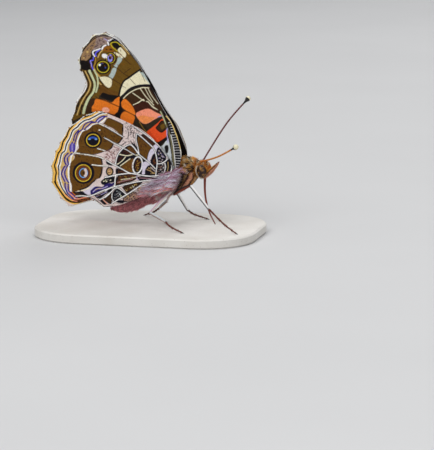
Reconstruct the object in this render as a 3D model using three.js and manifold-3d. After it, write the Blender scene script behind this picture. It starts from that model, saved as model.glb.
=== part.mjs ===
// A painted lady butterfly at life size, standing on a thin rounded plate with its wings closed.
// Millimetres. +X points forward to the head, +Y to the left, +Z up.
// The origin is the middle of the plate's underside.
import * as THREE from "three";
import { mergeVertices } from "three/addons/utils/BufferGeometryUtils.js";
import Module from "manifold-3d";

const wasm = await Module();
wasm.setup();

// Driving sizes
const GAP = 0.3; // between neighbouring pieces
const PLATE = { length: 38, width: 26, height: 1.6, corner: 9, bevel: 0.25, segments: 5 };
const WING_THICKNESS = 0.52;
const VEIN_RAISE = 0.11; // of a vein's crest above each face of the wing
const VEIN_WIDTH = 0.7;
// How far a wing's middle layer lies from the plane of symmetry, and how it parts around the body
const WING_CENTRE = { fore: 0.52, hind: 1.55 };
const FLARE = { thorax: 1.75, abdomen: 0.75, reach: 7.5, fall: 1.5 };
const LIMB_RADIUS = 0.275;

// How finely the round forms are drawn: points round them, and stations or rows along them
const FINENESS = {
  thorax: { sides: 16, stations: 10 },
  abdomen: { sides: 14 },
  head: { sides: 16, rows: 10 },
  knuckle: { sides: 10, rows: 6 },
  limb: { sides: 8, stations: 8 },
  tongue: { stations: 12 },
  leg: { stations: 3 },
  foot: { stations: 6 },
};
const BODY_END = 0.35; // how far a body part's rounded end stands out, as a share of its half height
const LIMB_END = 0.5; // the same of a limb, as a share of its radius
const END_RING = 0.55; // the size of the ring on a rounded end, as a share of the last one

// Colours
const COLOURS = {
  wing: 0x8a6a4a,
  hair: 0x9c6f45,
  abdomen: 0xb08878,
  eye: 0x2c1a12,
  horn: 0x5a2a16,
  leg: 0xb9b0a6,
  plate: 0xd9d4ca,
};
const ROUGHNESS = { wing: 0.8, hair: 0.95, abdomen: 0.9, eye: 0.25, horn: 0.5, leg: 0.6, plate: 0.5 };

// The body's middle line and its half width and half height at each station, from back to front
const THORAX = [
  { at: [2.2, 7.5], wide: 0.9, high: 1.0 },
  { at: [3.0, 8.3], wide: 1.45, high: 1.95 },
  { at: [3.9, 9.25], wide: 1.75, high: 2.4 },
  { at: [4.9, 10.2], wide: 1.85, high: 2.55 },
  { at: [5.9, 11.0], wide: 1.8, high: 2.5 },
  { at: [6.8, 11.55], wide: 1.55, high: 2.1 },
  { at: [7.5, 11.85], wide: 1.1, high: 1.5 },
];
const ABDOMEN = [
  { at: [2.2, 7.5], wide: 1.1, high: 1.4 },
  { at: [0.4, 6.8], wide: 1.45, high: 1.6 },
  { at: [-1.2, 6.2], wide: 1.5, high: 1.45 },
  { at: [-2.8, 5.4], wide: 1.45, high: 1.55 },
  { at: [-4.4, 4.8], wide: 1.25, high: 1.4 },
  { at: [-5.7, 4.35], wide: 0.95, high: 1.1 },
  { at: [-6.5, 4.1], wide: 0.5, high: 0.62 },
];
const ABDOMEN_SEGMENTS = 8;
const SEGMENT_STEP = 0.07; // how far a segment's hind edge stands over the next one
const HEAD = { at: [8.95, 0, 11.35], radii: [1.2, 1.15, 1.45], pitch: -0.35 };
const EYE = { at: [9.2, 1.2, 11.2], radii: [0.84, 0.6, 1.15], pitch: -0.25 };

// Wings: the root, and the lines of the wing from costal edge to inner edge. Each line runs from the root to
// the margin in millimetres behind (-) and above (+) the root. from is the share of the line where its vein
// starts, and 2 marks a line without a vein.
const FOREWING = {
  root: [5.32, 11.02],
  centre: WING_CENTRE.fore,
  start: 0.035,
  cellEnd: 0.45,
  cellLines: [2, 6],
  scallop: 0.12,
  lines: [
    { from: 0, points: [[0.2, 0.2], [0.55, 3.1], [-0.12, 5.6], [-1.05, 7.75],
      [-3.1, 10.8], [-6.8, 17.2], [-10.1, 21.3], [-11.6, 22.4]] },
    { from: 0, points: [[0, 0.2], [-0.3, 3.6], [-1.2, 6.3], [-2.4, 8.9],
      [-4.3, 11.9], [-7.8, 17.2], [-10.7, 20.7], [-13.2, 22.9]] },
    { from: 0.4, points: [[0, 0], [-0.9, 3.9], [-2.4, 7.4], [-4.5, 10.2],
      [-6.4, 12.7], [-9.5, 16.8], [-12.1, 19.8], [-15.1, 22.5]] },
    { from: 0.45, points: [[0, -0.1], [-1.1, 3.8], [-2.7, 7.1], [-4.8, 10],
      [-6.9, 12.3], [-10.8, 16.2], [-13.4, 18.4], [-16.9, 20.3]] },
    { from: 0.45, points: [[-0.1, -0.1], [-1.4, 3.7], [-3.3, 6.9], [-5.5, 9.7],
      [-7.8, 11.5], [-11.8, 14.7], [-14.4, 16.4], [-17.7, 18.3]] },
    { from: 0.45, points: [[-0.1, -0.2], [-1.7, 3.5], [-4, 6.5], [-6.4, 9.3],
      [-8.7, 10.9], [-12.7, 13.2], [-14.8, 14.6], [-17.4, 16.6]] },
    { from: 0, points: [[-0.2, -0.3], [-2.1, 3.3], [-4.7, 6.1], [-7.1, 8.6],
      [-9.4, 10.1], [-13.1, 11.9], [-14.8, 12.9], [-16.4, 14.4]] },
    { from: 0.2, points: [[-0.2, -0.4], [-2.6, 2.8], [-5.2, 5.3], [-7.7, 7.1],
      [-9.9, 8.2], [-13.4, 9.6], [-15.4, 10.2], [-18.1, 11.1]] },
    { from: 0, points: [[-0.4, -0.6], [-3, 2.1], [-5.8, 4.1], [-8.4, 5.3],
      [-10.7, 6.1], [-14, 6.9], [-16.3, 7.3], [-19, 8.1]] },
    { from: 2, points: [[-0.4, -0.9], [-3, 0.7], [-5.8, 2], [-8.4, 3.1],
      [-10.8, 3.9], [-14, 4.5], [-16.3, 4.7], [-18.8, 5.1]] },
  ],
};
const HINDWING = {
  root: [4.16, 9.41],
  centre: WING_CENTRE.hind,
  start: 0.04,
  cellEnd: 0.36,
  cellLines: [2, 6],
  scallop: 0.1,
  lines: [
    { from: 0, points: [[0.4, 0.9], [0.2, 3.3], [-2.4, 6.45], [-4.95, 8.4], [-7.8, 9.75], [-11.8, 11.3]] },
    { from: 0, points: [[0.2, 0.5], [-1.7, 3.5], [-3.8, 5.7], [-6, 7.6], [-8.3, 9.2], [-13.1, 11.3]] },
    { from: 0, points: [[0, 0.2], [-3.3, 2.6], [-5.9, 4.6], [-8.4, 7.2], [-11.7, 8.8], [-15.2, 10.5]] },
    { from: 0.36, points: [[0, 0.1], [-3.3, 2.2], [-6, 4.2], [-9.1, 5.8], [-11.9, 7], [-18, 8.4]] },
    { from: 0.36, points: [[0, 0], [-3.3, 1.8], [-6.6, 3.2], [-9.4, 4.4], [-11.9, 5], [-19.6, 5.8]] },
    { from: 0.36, points: [[0, -0.1], [-3.3, 1.5], [-7, 2.2], [-9.6, 3.2], [-12.5, 3.9], [-20.4, 4.3]] },
    { from: 0, points: [[0, -0.2], [-3, 1.1], [-7.3, 1.1], [-10.3, 1.9], [-14.2, 2.2], [-21.2, 1.7]] },
    { from: 0.2, points: [[0, -0.3], [-2.9, 0.7], [-6.8, 0.5], [-10.3, 0.3], [-13.7, -0.4], [-21.1, -1]] },
    { from: 0, points: [[0, -0.5], [-3.1, 0.1], [-6.8, -0.6],
      [-10.2, -1.4], [-13.9, -2.5], [-19.6, -3.6]] },
    { from: 2, points: [[-0.2, -0.7], [-3.1, -0.4], [-6.8, -1.3],
      [-10.2, -2.5], [-13, -3.6], [-18, -4.9]] },
    { from: 0, points: [[-0.4, -0.9], [-3.6, -0.9], [-7.6, -2.2],
      [-10, -3.1], [-12, -3.5], [-13.7, -3.7]] },
    { from: 2, points: [[-0.5, -1.6], [-2.5, -1.8], [-4.6, -2.6],
      [-7.2, -3.7], [-9.5, -4.5], [-11.8, -4.8]] },
  ],
};
const WING_ROWS = [0, 0.09, 0.2, 0.33, 0.54, 0.7, 0.84, 0.94, 1]; // shares of the way to the margin
const CROSS_VEIN_HALF = 0.014; // half the width of the vein that closes the cell, as a share of a line

// Knuckles by which the wings hang on the thorax
const KNUCKLES = {
  fore: { at: [5.25, 2.0, 11.3], radii: [0.75, 0.5, 1.0] },
  hind: { at: [3.2, 2.55, 9.5], radii: [0.85, 1.0, 1.0] },
};

// Feelers and mouthparts: [x, y, z, radius]. The left feeler is raised further than the right one.
const ANTENNAE = {
  left: { root: [9.0, 0.55, 12.75], bend: [12.0, 5.1, 18.6], tip: [15.09, 8.75, 22.73] },
  right: { root: [9.05, -0.5, 12.75], bend: [13.4, -6.6, 14.6], tip: [17.75, -11.35, 17.1] },
};
const ANTENNA = { shaft: 0.25, club: 0.46, clubShare: 0.13, stations: 11 };
const CLUB = [
  { share: 0.35, girth: 0.85 },
  { share: 0.65, girth: 1 },
  { share: 0.9, girth: 0.85 },
  { share: 1, girth: 0.4 },
];
const PALP = [
  [9.2, 0.62, 10.0, 0.34],
  [10.0, 0.64, 10.5, 0.42],
  [10.8, 0.6, 11.35, 0.4],
  [11.4, 0.55, 12.0, 0.27],
  [11.8, 0.52, 12.5, 0.12],
];
const PROBOSCIS = [
  [9.5, 0, 10.3, 0.3],
  [9.45, 0, 8.9, 0.27],
  [9.5, 0, 7.2, 0.26],
  [9.8, 0, 5.4, 0.25],
  [10.4, 0, 3.7, 0.24],
  [11.3, 0, 2.25, 0.2],
];

// Legs: the right side's joints, and the left side's where the legs stand otherwise
const FORELEG = [
  [7.3, 0.9, 10.9, 0.3],
  [7.55, 1.7, 10.2, 0.42],
  [7.05, 1.95, 9.35, 0.48],
  [6.45, 1.95, 8.6, 0.4],
  [6.0, 1.75, 8.0, 0.25],
];
const FOOT_RISE = 0.16; // of a foot's middle line above the gap over the plate
const TOE_TAPER = 0.01; // from each joint of a foot to the next
const FOOT_LEVEL = PLATE.height + GAP + FOOT_RISE;
const LEGS = {
  midleg_right: [[4.4, -1.2, 7.1], [8.22, -5.0, 9.32], [11.47, -5.6, 5.66],
    [14.2, -5.9, 3.2], [16.4, -6.2, FOOT_LEVEL]],
  hindleg_right: [[3.9, -1.1, 7.6], [0.95, -4.0, 4.2], [4.35, -6.6, 3.25],
    [5.4, -7.0, 2.5], [7.4, -7.5, FOOT_LEVEL]],
  midleg_left: [[5.0, 1.2, 7.9], [3.3, 4.8, 6.4], [4.9, 5.8, 3.3],
    [6.0, 6.1, 2.5], [8.2, 6.6, FOOT_LEVEL]],
  hindleg_left: [[3.7, 1.1, 7.5], [1.6, 4.4, 4.9], [-0.2, 6.3, 3.4],
    [-1.4, 7.0, 2.5], [-3.2, 7.9, FOOT_LEVEL]],
};

// A closed geometry as a solid that can be joined and cut, with its faces turned outwards
function solidOf(geometry) {
  const plain = geometry.clone();
  for (const name of Object.keys(plain.attributes)) if (name !== "position") plain.deleteAttribute(name);
  const merged = mergeVertices(plain, 1e-4);
  const triVerts = new Uint32Array(merged.index.array);
  const vertProperties = merged.attributes.position.array;
  const made = new wasm.Manifold(new wasm.Mesh({ numProp: 3, vertProperties, triVerts }));
  if (made.volume() > 0) return made;
  for (let i = 0; i < triVerts.length; i += 3) {
    [triVerts[i + 1], triVerts[i + 2]] = [triVerts[i + 2], triVerts[i + 1]];
  }
  return new wasm.Manifold(new wasm.Mesh({ numProp: 3, vertProperties, triVerts }));
}

// The largest closed surface of a solid
function largest(solid) {
  return solid.decompose().reduce((best, body) => (body.volume() > best.volume() ? body : best));
}

// A named mesh from a solid
function meshOf(name, finish, solid) {
  const made = largest(solid).getMesh();
  const positions = new Float32Array(made.numVert * 3);
  for (let i = 0; i < made.numVert; i++) {
    positions.set(made.vertProperties.subarray(i * made.numProp, i * made.numProp + 3), i * 3);
  }
  const geometry = new THREE.BufferGeometry();
  geometry.setAttribute("position", new THREE.BufferAttribute(positions, 3));
  geometry.setIndex(new THREE.BufferAttribute(new Uint32Array(made.triVerts), 1));
  geometry.computeVertexNormals();
  const look = { color: COLOURS[finish], roughness: ROUGHNESS[finish], metalness: 0 };
  const mesh = new THREE.Mesh(geometry, new THREE.MeshStandardMaterial(look));
  mesh.name = name;
  return mesh;
}

// A closed geometry through rings of as many points each, with a point at both ends
function skinRings(rings, first, last) {
  const sides = rings[0].length;
  const points = [first, ...rings.flat(), last];
  const end = points.length - 1;
  const index = [];
  const at = (ring, side) => 1 + ring * sides + (side % sides);
  for (let s = 0; s < sides; s++) {
    index.push(0, at(0, s + 1), at(0, s));
    index.push(end, at(rings.length - 1, s), at(rings.length - 1, s + 1));
    for (let k = 0; k + 1 < rings.length; k++) {
      index.push(at(k, s), at(k, s + 1), at(k + 1, s + 1), at(k, s), at(k + 1, s + 1), at(k + 1, s));
    }
  }
  const geometry = new THREE.BufferGeometry().setFromPoints(points);
  geometry.setIndex(index);
  return geometry;
}

// A solid through oval stations {p, wide, high}: wide is across the body, high at right angles to its line
function loft(stations, sides) {
  const rings = stations.map(({ p, wide, high }, k) => {
    const before = stations[Math.max(k - 1, 0)].p;
    const after = stations[Math.min(k + 1, stations.length - 1)].p;
    const along = after.clone().sub(before).normalize();
    const reference = Math.abs(along.y) > 0.9 ? new THREE.Vector3(1, 0, 0) : new THREE.Vector3(0, 1, 0);
    const up = new THREE.Vector3().crossVectors(along, reference).normalize();
    const across = new THREE.Vector3().crossVectors(up, along);
    return Array.from({ length: sides }, (_, s) => {
      const angle = (2 * Math.PI * s) / sides;
      const [x, z] = [wide * Math.cos(angle), high * Math.sin(angle)];
      return p.clone().addScaledVector(across, x).addScaledVector(up, z);
    });
  });
  return solidOf(skinRings(rings, stations[0].p, stations[stations.length - 1].p));
}

// Stations with a smaller one beyond either end: share of the end's half height further out, and grow more
function rounded(stations, share, grow) {
  const beyond = (end, inner) => {
    const out = end.p.clone().sub(inner.p).normalize();
    const p = end.p.clone().addScaledVector(out, share * (end.high - grow) + grow);
    return { p, wide: END_RING * end.wide, high: END_RING * end.high };
  };
  const last = stations.length - 1;
  return [beyond(stations[0], stations[1]), ...stations, beyond(stations[last], stations[last - 1])];
}

// A body part along its middle line, all of it thicker by grow
function bodyPart(profile, count, sides, grow, step = () => 0) {
  const line = new THREE.SplineCurve(profile.map(({ at }) => new THREE.Vector2(...at)));
  const sizes = new THREE.SplineCurve(profile.map(({ wide, high }) => new THREE.Vector2(wide, high)));
  const stations = Array.from({ length: count + 1 }, (_, k) => {
    const t = k / count;
    const at = line.getPoint(t);
    const size = sizes.getPoint(t);
    const extra = grow + step(k);
    return { p: new THREE.Vector3(at.x, 0, at.y), wide: size.x + extra, high: size.y + extra };
  });
  return loft(rounded(stations, BODY_END, grow), sides);
}

// A round limb through points [x, y, z, radius]
function limb(points, grow = 0, steps = FINENESS.limb.stations, sides = FINENESS.limb.sides) {
  const path = new THREE.CatmullRomCurve3(points.map(([x, y, z]) => new THREE.Vector3(x, y, z)));
  const stations = Array.from({ length: steps + 1 }, (_, k) => {
    const t = k / steps;
    const place = t * (points.length - 1);
    const low = Math.min(Math.floor(place), points.length - 2);
    const radius = THREE.MathUtils.lerp(points[low][3], points[low + 1][3], place - low) + grow;
    return { p: path.getPoint(t), wide: radius, high: radius };
  });
  return loft(rounded(stations, LIMB_END, grow), sides);
}

// An egg shape, tilted about the Y axis
function egg({ at, radii, pitch = 0 }, grow = 0, side = 1, around = 14, tall = 9) {
  const geometry = new THREE.SphereGeometry(1, around, tall);
  geometry.scale(radii[0] + grow, radii[1] + grow, radii[2] + grow);
  geometry.rotateY(pitch);
  geometry.translate(at[0], side * at[1], at[2]);
  return solidOf(geometry);
}

// How far the wings part around the body, at a place in side view
function flare(x, z) {
  const middle = [...ABDOMEN].reverse().concat(THORAX.slice(1)).map(({ at }) => at);
  let nearest = Infinity;
  for (let k = 0; k + 1 < middle.length; k++) {
    const [ax, az] = middle[k];
    const [bx, bz] = middle[k + 1];
    const share = ((x - ax) * (bx - ax) + (z - az) * (bz - az)) / ((bx - ax) ** 2 + (bz - az) ** 2);
    const held = THREE.MathUtils.clamp(share, 0, 1);
    nearest = Math.min(nearest, Math.hypot(x - ax - held * (bx - ax), z - az - held * (bz - az)));
  }
  const amount = THREE.MathUtils.lerp(FLARE.abdomen, FLARE.thorax, THREE.MathUtils.smoothstep(x, -2, 3));
  return amount * Math.exp(-((nearest / FLARE.reach) ** FLARE.fall));
}

// The points of a wing: one row for each share of the way out, with the raise of the veins at each point
function wingRows(wing) {
  const curveOf = ({ points }) => new THREE.SplineCurve(points.map((p) => new THREE.Vector2(...p)));
  const curves = wing.lines.map(curveOf);
  const out = WING_ROWS.map((share) => THREE.MathUtils.lerp(wing.start, 1, share));
  const crossing = [-CROSS_VEIN_HALF, 0, CROSS_VEIN_HALF].map((shift) => wing.cellEnd + shift);
  const clear = out.filter((t) => Math.abs(t - wing.cellEnd) > 3 * CROSS_VEIN_HALF);
  const shares = [...clear, ...crossing].sort((a, b) => a - b);
  return shares.map((t) => {
    const crests = curves.map((curve) => curve.getPointAt(t));
    const inCell = (k) => t === wing.cellEnd && k >= wing.cellLines[0] && k < wing.cellLines[1];
    const row = [];
    crests.forEach((crest, k) => {
      const raised = t >= wing.lines[k].from - 1e-6 || inCell(k) || inCell(k - 1);
      row.push({ p: crest, raise: raised ? VEIN_RAISE : 0 });
      if (k + 1 === crests.length) return;
      const next = crests[k + 1];
      const middle = crest.clone().lerp(next, 0.5);
      if (t === 1) middle.addScaledVector(middle.clone().normalize(), -wing.scallop);
      const foot = Math.min(VEIN_WIDTH / crest.distanceTo(next), 0.6);
      const flat = inCell(k) ? VEIN_RAISE : 0;
      if (wing.lines[k].from <= 1) row.push({ p: crest.clone().lerp(middle, foot), raise: flat });
      row.push({ p: middle, raise: flat });
      if (wing.lines[k + 1].from <= 1) row.push({ p: next.clone().lerp(middle, foot), raise: flat });
    });
    return row;
  });
}

// A wing's sheet, with its veins raised on both faces
function wingSheet(wing, side) {
  const rows = wingRows(wing);
  const columns = rows[0].length;
  const face = (sign) =>
    rows.flat().map(({ p, raise }) => {
      const x = wing.root[0] + p.x;
      const z = wing.root[1] + p.y;
      const y = wing.centre + flare(x, z) + sign * (0.5 * WING_THICKNESS + raise);
      return new THREE.Vector3(x, side * y, z);
    });
  const points = [...face(1), ...face(-1)];
  const half = rows.length * columns;
  const at = (r, c) => r * columns + c;
  const index = [];
  const quad = (a, b, c, d) => index.push(a, b, c, a, c, d);
  for (let r = 0; r + 1 < rows.length; r++) {
    for (let c = 0; c + 1 < columns; c++) {
      const [a, b, d, e] = [at(r, c), at(r, c + 1), at(r + 1, c + 1), at(r + 1, c)];
      index.push(a, b, d, a, d, e);
      index.push(half + a, half + d, half + b, half + a, half + e, half + d);
    }
    quad(at(r + 1, 0), half + at(r + 1, 0), half + at(r, 0), at(r, 0));
    const [inner, outer] = [at(r, columns - 1), at(r + 1, columns - 1)];
    quad(inner, half + inner, half + outer, outer);
  }
  const last = rows.length - 1;
  for (let c = 0; c + 1 < columns; c++) {
    quad(at(0, c), half + at(0, c), half + at(0, c + 1), at(0, c + 1));
    quad(at(last, c + 1), half + at(last, c + 1), half + at(last, c), at(last, c));
  }
  const geometry = new THREE.BufferGeometry().setFromPoints(points);
  geometry.setIndex(index);
  return solidOf(geometry);
}

// The plate that the butterfly stands on, thicker by grow on top
function plate(grow = 0) {
  const { length, width, height, corner, bevel, segments } = PLATE;
  const [x, y] = [length / 2 - corner, width / 2 - corner];
  const outline = new THREE.Shape();
  [[x, y], [-x, y], [-x, -y], [x, -y]].forEach(([cx, cy], k) => {
    outline.absarc(cx, cy, corner - bevel, (k * Math.PI) / 2, ((k + 1) * Math.PI) / 2);
  });
  const settings = { curveSegments: segments, bevelSize: bevel, bevelThickness: bevel, bevelSegments: 1 };
  settings.depth = height + grow - 2 * bevel;
  const geometry = new THREE.ExtrudeGeometry(outline, settings);
  geometry.translate(0, 0, bevel);
  return solidOf(geometry);
}

// Body
const thoraxGrown = (grow) => bodyPart(THORAX, FINENESS.thorax.stations, FINENESS.thorax.sides, grow);
const abdomenRings = 2 * ABDOMEN_SEGMENTS;
const abdomenGrown = (grow, step) => bodyPart(ABDOMEN, abdomenRings, FINENESS.abdomen.sides, grow, step);
const segmentEdge = (k) => (k % 2 === 1 ? SEGMENT_STEP : 0);
const thorax = thoraxGrown(0);
const thoraxCut = thoraxGrown(GAP);
const abdomen = abdomenGrown(0, segmentEdge).subtract(thoraxCut);
const abdomenCut = abdomenGrown(GAP + SEGMENT_STEP);
const headCut = egg(HEAD, GAP);
const eyes = [1, -1].map((side) => egg(EYE, 0, side));
const sockets = [1, -1].map((side) => egg(EYE, GAP, side));
const wholeHead = egg(HEAD, 0, 1, FINENESS.head.sides, FINENESS.head.rows);
const head = wholeHead.subtract(thoraxCut).subtract(sockets[0]).subtract(sockets[1]);

// The model and its groups
const model = new THREE.Group();
const groups = {};
for (const name of ["stand", "body", "face", "wings", "legs"]) {
  groups[name] = new THREE.Group();
  groups[name].name = name;
  model.add(groups[name]);
}
groups.stand.add(meshOf("stand_base", "plate", plate()));
groups.body.add(meshOf("thorax", "hair", thorax));
groups.body.add(meshOf("abdomen", "abdomen", abdomen));
groups.body.add(meshOf("head", "hair", head));

// Feelers and mouthparts
function antenna({ root, bend, tip }) {
  const [a, b, c] = [root, bend, tip].map((p) => new THREE.Vector3(...p));
  const control = b.clone().multiplyScalar(2).sub(a.clone().add(c).multiplyScalar(0.5));
  const curve = new THREE.QuadraticBezierCurve3(a, control, c);
  const last = ANTENNA.stations - 1;
  const shares = Array.from({ length: last + 1 }, (_, k) => (k / last) * (1 - ANTENNA.clubShare));
  const shaft = shares.map((t) => [...curve.getPoint(t).toArray(), ANTENNA.shaft]);
  const club = CLUB.map(({ share, girth }) => {
    const t = 1 - ANTENNA.clubShare * (1 - share);
    return [...curve.getPoint(t).toArray(), ANTENNA.club * girth];
  });
  return limb([...shaft, ...club], 0, shaft.length + club.length - 1);
}
const tongueGrown = (grow) => limb(PROBOSCIS, grow, FINENESS.tongue.stations);
const tongueCut = tongueGrown(GAP);

// The pieces of each side
const knuckle = (shape, side) => egg(shape, 0, side, FINENESS.knuckle.sides, FINENESS.knuckle.rows);
for (const [name, side] of [["left", 1], ["right", -1]]) {
  const mirrored = (points) => points.map(([x, y, z, radius]) => [x, side * y, z, radius]);
  const socket = sockets[side > 0 ? 0 : 1];
  groups.face.add(meshOf(`eye_${name}`, "eye", eyes[side > 0 ? 0 : 1]));
  const feeler = antenna(ANTENNAE[name]).subtract(headCut).subtract(socket);
  groups.face.add(meshOf(`antenna_${name}`, "horn", feeler));
  const palp = limb(mirrored(PALP)).subtract(headCut).subtract(socket).subtract(tongueCut);
  groups.face.add(meshOf(`palp_${name}`, "hair", palp));
  const foreleg = limb(mirrored(FORELEG)).subtract(thoraxCut).subtract(headCut);
  groups.legs.add(meshOf(`foreleg_${name}`, "leg", foreleg));
  const forewing = wingSheet(FOREWING, side).add(knuckle(KNUCKLES.fore, side)).subtract(thoraxCut);
  groups.wings.add(meshOf(`forewing_${name}`, "wing", forewing));
  const hindwing = wingSheet(HINDWING, side).add(knuckle(KNUCKLES.hind, side));
  groups.wings.add(meshOf(`hindwing_${name}`, "wing", hindwing.subtract(thoraxCut).subtract(abdomenCut)));
}
groups.face.add(meshOf("proboscis", "horn", tongueGrown(0).subtract(headCut)));

// Walking legs: thigh, shin and foot, each cut clear of the one that it hangs on
const plateCut = plate(GAP);
for (const [name, joints] of Object.entries(LEGS)) {
  const [hip, knee, ankle, ...toes] = joints;
  const thigh = (grow) => limb([[...hip, LIMB_RADIUS], [...knee, LIMB_RADIUS]], grow, FINENESS.leg.stations);
  const shin = (grow) => limb([[...knee, LIMB_RADIUS], [...ankle, LIMB_RADIUS]], grow, FINENESS.leg.stations);
  const tarsus = [ankle, ...toes].map((p, k) => [...p, LIMB_RADIUS - TOE_TAPER * k]);
  const foot = limb(tarsus, 0, FINENESS.foot.stations);
  groups.legs.add(meshOf(`${name}_femur`, "leg", thigh(0).subtract(thoraxCut).subtract(abdomenCut)));
  groups.legs.add(meshOf(`${name}_tibia`, "leg", shin(0).subtract(thigh(GAP))));
  groups.legs.add(meshOf(`${name}_tarsus`, "leg", foot.subtract(shin(GAP)).subtract(plateCut)));
}

export default model;
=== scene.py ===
"""A painted lady butterfly at life size, standing on a thin plate with its wings closed.

Lengths in this file are millimetres in the part's frame: +X forward to the head, +Y to the left, +Z up.
The origin is the middle of the plate's underside. Meshes are written in metres.
The markings are drawn on the 434 by 450 picture frame, enlarged five times so that whole numbers place them.
They are laid on the side that the camera sees, and the other side mirrors them.
"""
import logging
import math
from dataclasses import dataclass, field
from enum import Enum
from typing import Callable, Optional, Union

import bpy
import numpy as np
from mathutils import Matrix


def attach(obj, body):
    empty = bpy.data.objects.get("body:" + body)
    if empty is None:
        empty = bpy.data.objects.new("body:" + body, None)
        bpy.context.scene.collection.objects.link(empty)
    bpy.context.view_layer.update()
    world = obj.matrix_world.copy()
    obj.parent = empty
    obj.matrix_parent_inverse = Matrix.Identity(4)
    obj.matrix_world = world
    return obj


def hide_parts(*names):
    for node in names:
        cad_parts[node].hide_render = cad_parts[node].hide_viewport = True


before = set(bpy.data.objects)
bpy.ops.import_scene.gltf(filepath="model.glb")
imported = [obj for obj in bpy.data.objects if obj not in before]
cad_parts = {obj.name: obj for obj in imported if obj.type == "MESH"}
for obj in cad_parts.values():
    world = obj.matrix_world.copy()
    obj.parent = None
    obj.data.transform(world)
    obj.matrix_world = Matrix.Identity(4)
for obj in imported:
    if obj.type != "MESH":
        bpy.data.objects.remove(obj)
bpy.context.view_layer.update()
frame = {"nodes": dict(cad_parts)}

log = logging.getLogger("butterfly")
MM = 0.001
SEED = 7
MARKINGS = "Markings"
BAKE_MAP = "OFBake"
BODY = "root"
Points = np.ndarray
Painter = Callable[[np.ndarray], np.ndarray]
Triple = tuple[float, float, float]


class Tint(Enum):
    """The colours of the animal and its stand, as sRGB values from 0 to 255."""

    BLACK = (20, 15, 14)
    INK = (16, 14, 24)
    UMBER = (58, 36, 18)
    DARKBROWN = (66, 36, 20)
    BLACKBROWN = (46, 38, 26)
    BROWN = (98, 64, 20)
    OLIVE = (102, 74, 22)
    RUSSET = (112, 60, 24)
    CHESTNUT = (60, 28, 18)
    CREAM = (232, 224, 190)
    CREAMYELLOW = (240, 208, 130)
    WHITE = (244, 242, 232)
    PINKWHITE = (216, 198, 194)
    PINK = (244, 176, 150)
    YELLOW = (222, 186, 52)
    OCHRE = (170, 130, 50)
    ORANGE = (224, 118, 34)
    ORANGEPALE = (232, 140, 78)
    SALMON = (240, 146, 116)
    REDORANGE = (222, 78, 34)
    BLUEGREY = (172, 186, 180)
    LILAC = (170, 158, 206)
    LILACPALE = (196, 188, 222)
    VIOLET = (92, 78, 170)
    VIOLETINK = (40, 30, 92)
    BLUE = (52, 84, 176)
    SKYBLUE = (120, 170, 230)
    APEX = (150, 128, 118)
    PALEGREEN = (196, 202, 158)
    ASHEN = (196, 202, 204)
    OLIVEASH = (112, 106, 78)
    GREYDARK = (120, 112, 112)
    MAUVE = (176, 130, 136)
    ROSE = (214, 132, 138)
    TAUPE = (150, 116, 104)
    TAN = (196, 156, 104)
    TAUPEDARK = (92, 70, 70)
    OCHREPALE = (206, 172, 104)
    OCHREBROWN = (136, 84, 20)
    WHITISH = (240, 238, 236)
    VIOLETBLUE = (98, 92, 226)
    SKYLILAC = (146, 146, 240)
    YELLOWGREEN = (196, 178, 44)
    ASHLILAC = (206, 198, 214)
    MAUVEDARK = (128, 84, 88)
    FUR = (178, 108, 42)
    GOLD = (224, 162, 78)
    OXBLOOD = (84, 20, 14)
    HONEY = (246, 190, 84)
    INDIGO = (40, 28, 128)
    DUN = (150, 118, 84)
    HEATHER = (188, 146, 170)
    FLESH = (206, 146, 116)
    REDBROWN = (128, 48, 26)
    BONE = (214, 206, 196)

    def rgb(self) -> Points:
        """The colour in linear light."""
        share = np.array(self.value, float) / 255
        return np.where(share <= 0.04045, share / 12.92, ((share + 0.055) / 1.055) ** 2.4)

    def painted(self, points: Points) -> Points:
        """The colour in linear light, one row for each point."""
        return np.tile(self.rgb(), (len(points), 1))


def tints_of(*tints: Tint) -> Points:
    """The linear colours of several tints, one row for each."""
    return np.array([tint.rgb() for tint in tints])


def spline(stations: Points, shares: Points) -> Points:
    """A smooth line through stations.

    Args:
        stations: one row for each station.
        shares: how far along, from 0 at the first station to 1 at the last.

    Returns:
        One row for each share.
    """
    last = len(stations) - 1
    place = np.clip(shares, 0, 1) * last
    low = np.minimum(place.astype(int), last - 1)
    f = (place - low)[:, None]
    held = np.vstack([stations[:1], stations, stations[-1:]])
    a, b, c, d = (held[low + k] for k in range(4))
    return 0.5 * (2 * b + (c - a) * f + (2 * a - 5 * b + 4 * c - d) * f**2 + (3 * b - a - 3 * c + d) * f**3)


def closed_spline(stations: Points, per_side: int) -> Points:
    """A smooth closed line through stations, with per_side points to each."""
    count = len(stations)
    place = np.arange(count * per_side) / per_side
    low = place.astype(int)
    f = (place - low)[:, None]
    a, b, c, d = (stations[(low + k) % count] for k in (-1, 0, 1, 2))
    return 0.5 * (2 * b + (c - a) * f + (2 * a - 5 * b + 4 * c - d) * f**2 + (3 * b - a - 3 * c + d) * f**3)


def even(line: Points, shares: Points) -> Points:
    """Points of a polyline at shares of its own length."""
    run = np.concatenate([[0], np.cumsum(np.linalg.norm(np.diff(line, axis=0), axis=1))])
    return np.stack([np.interp(shares * run[-1], run, line[:, k]) for k in range(line.shape[1])], 1)


def away(points: Points, line: Points) -> Points:
    """The distance of each point in a plane from a polyline."""
    best = np.full(len(points), np.inf)
    for a, b in zip(line[:-1], line[1:]):
        run = b - a
        share = np.clip((points - a) @ run / max(run @ run, 1e-12), 0, 1)
        best = np.minimum(best, ((points - a - share[:, None] * run) ** 2).sum(1))
    return np.sqrt(best)


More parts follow.
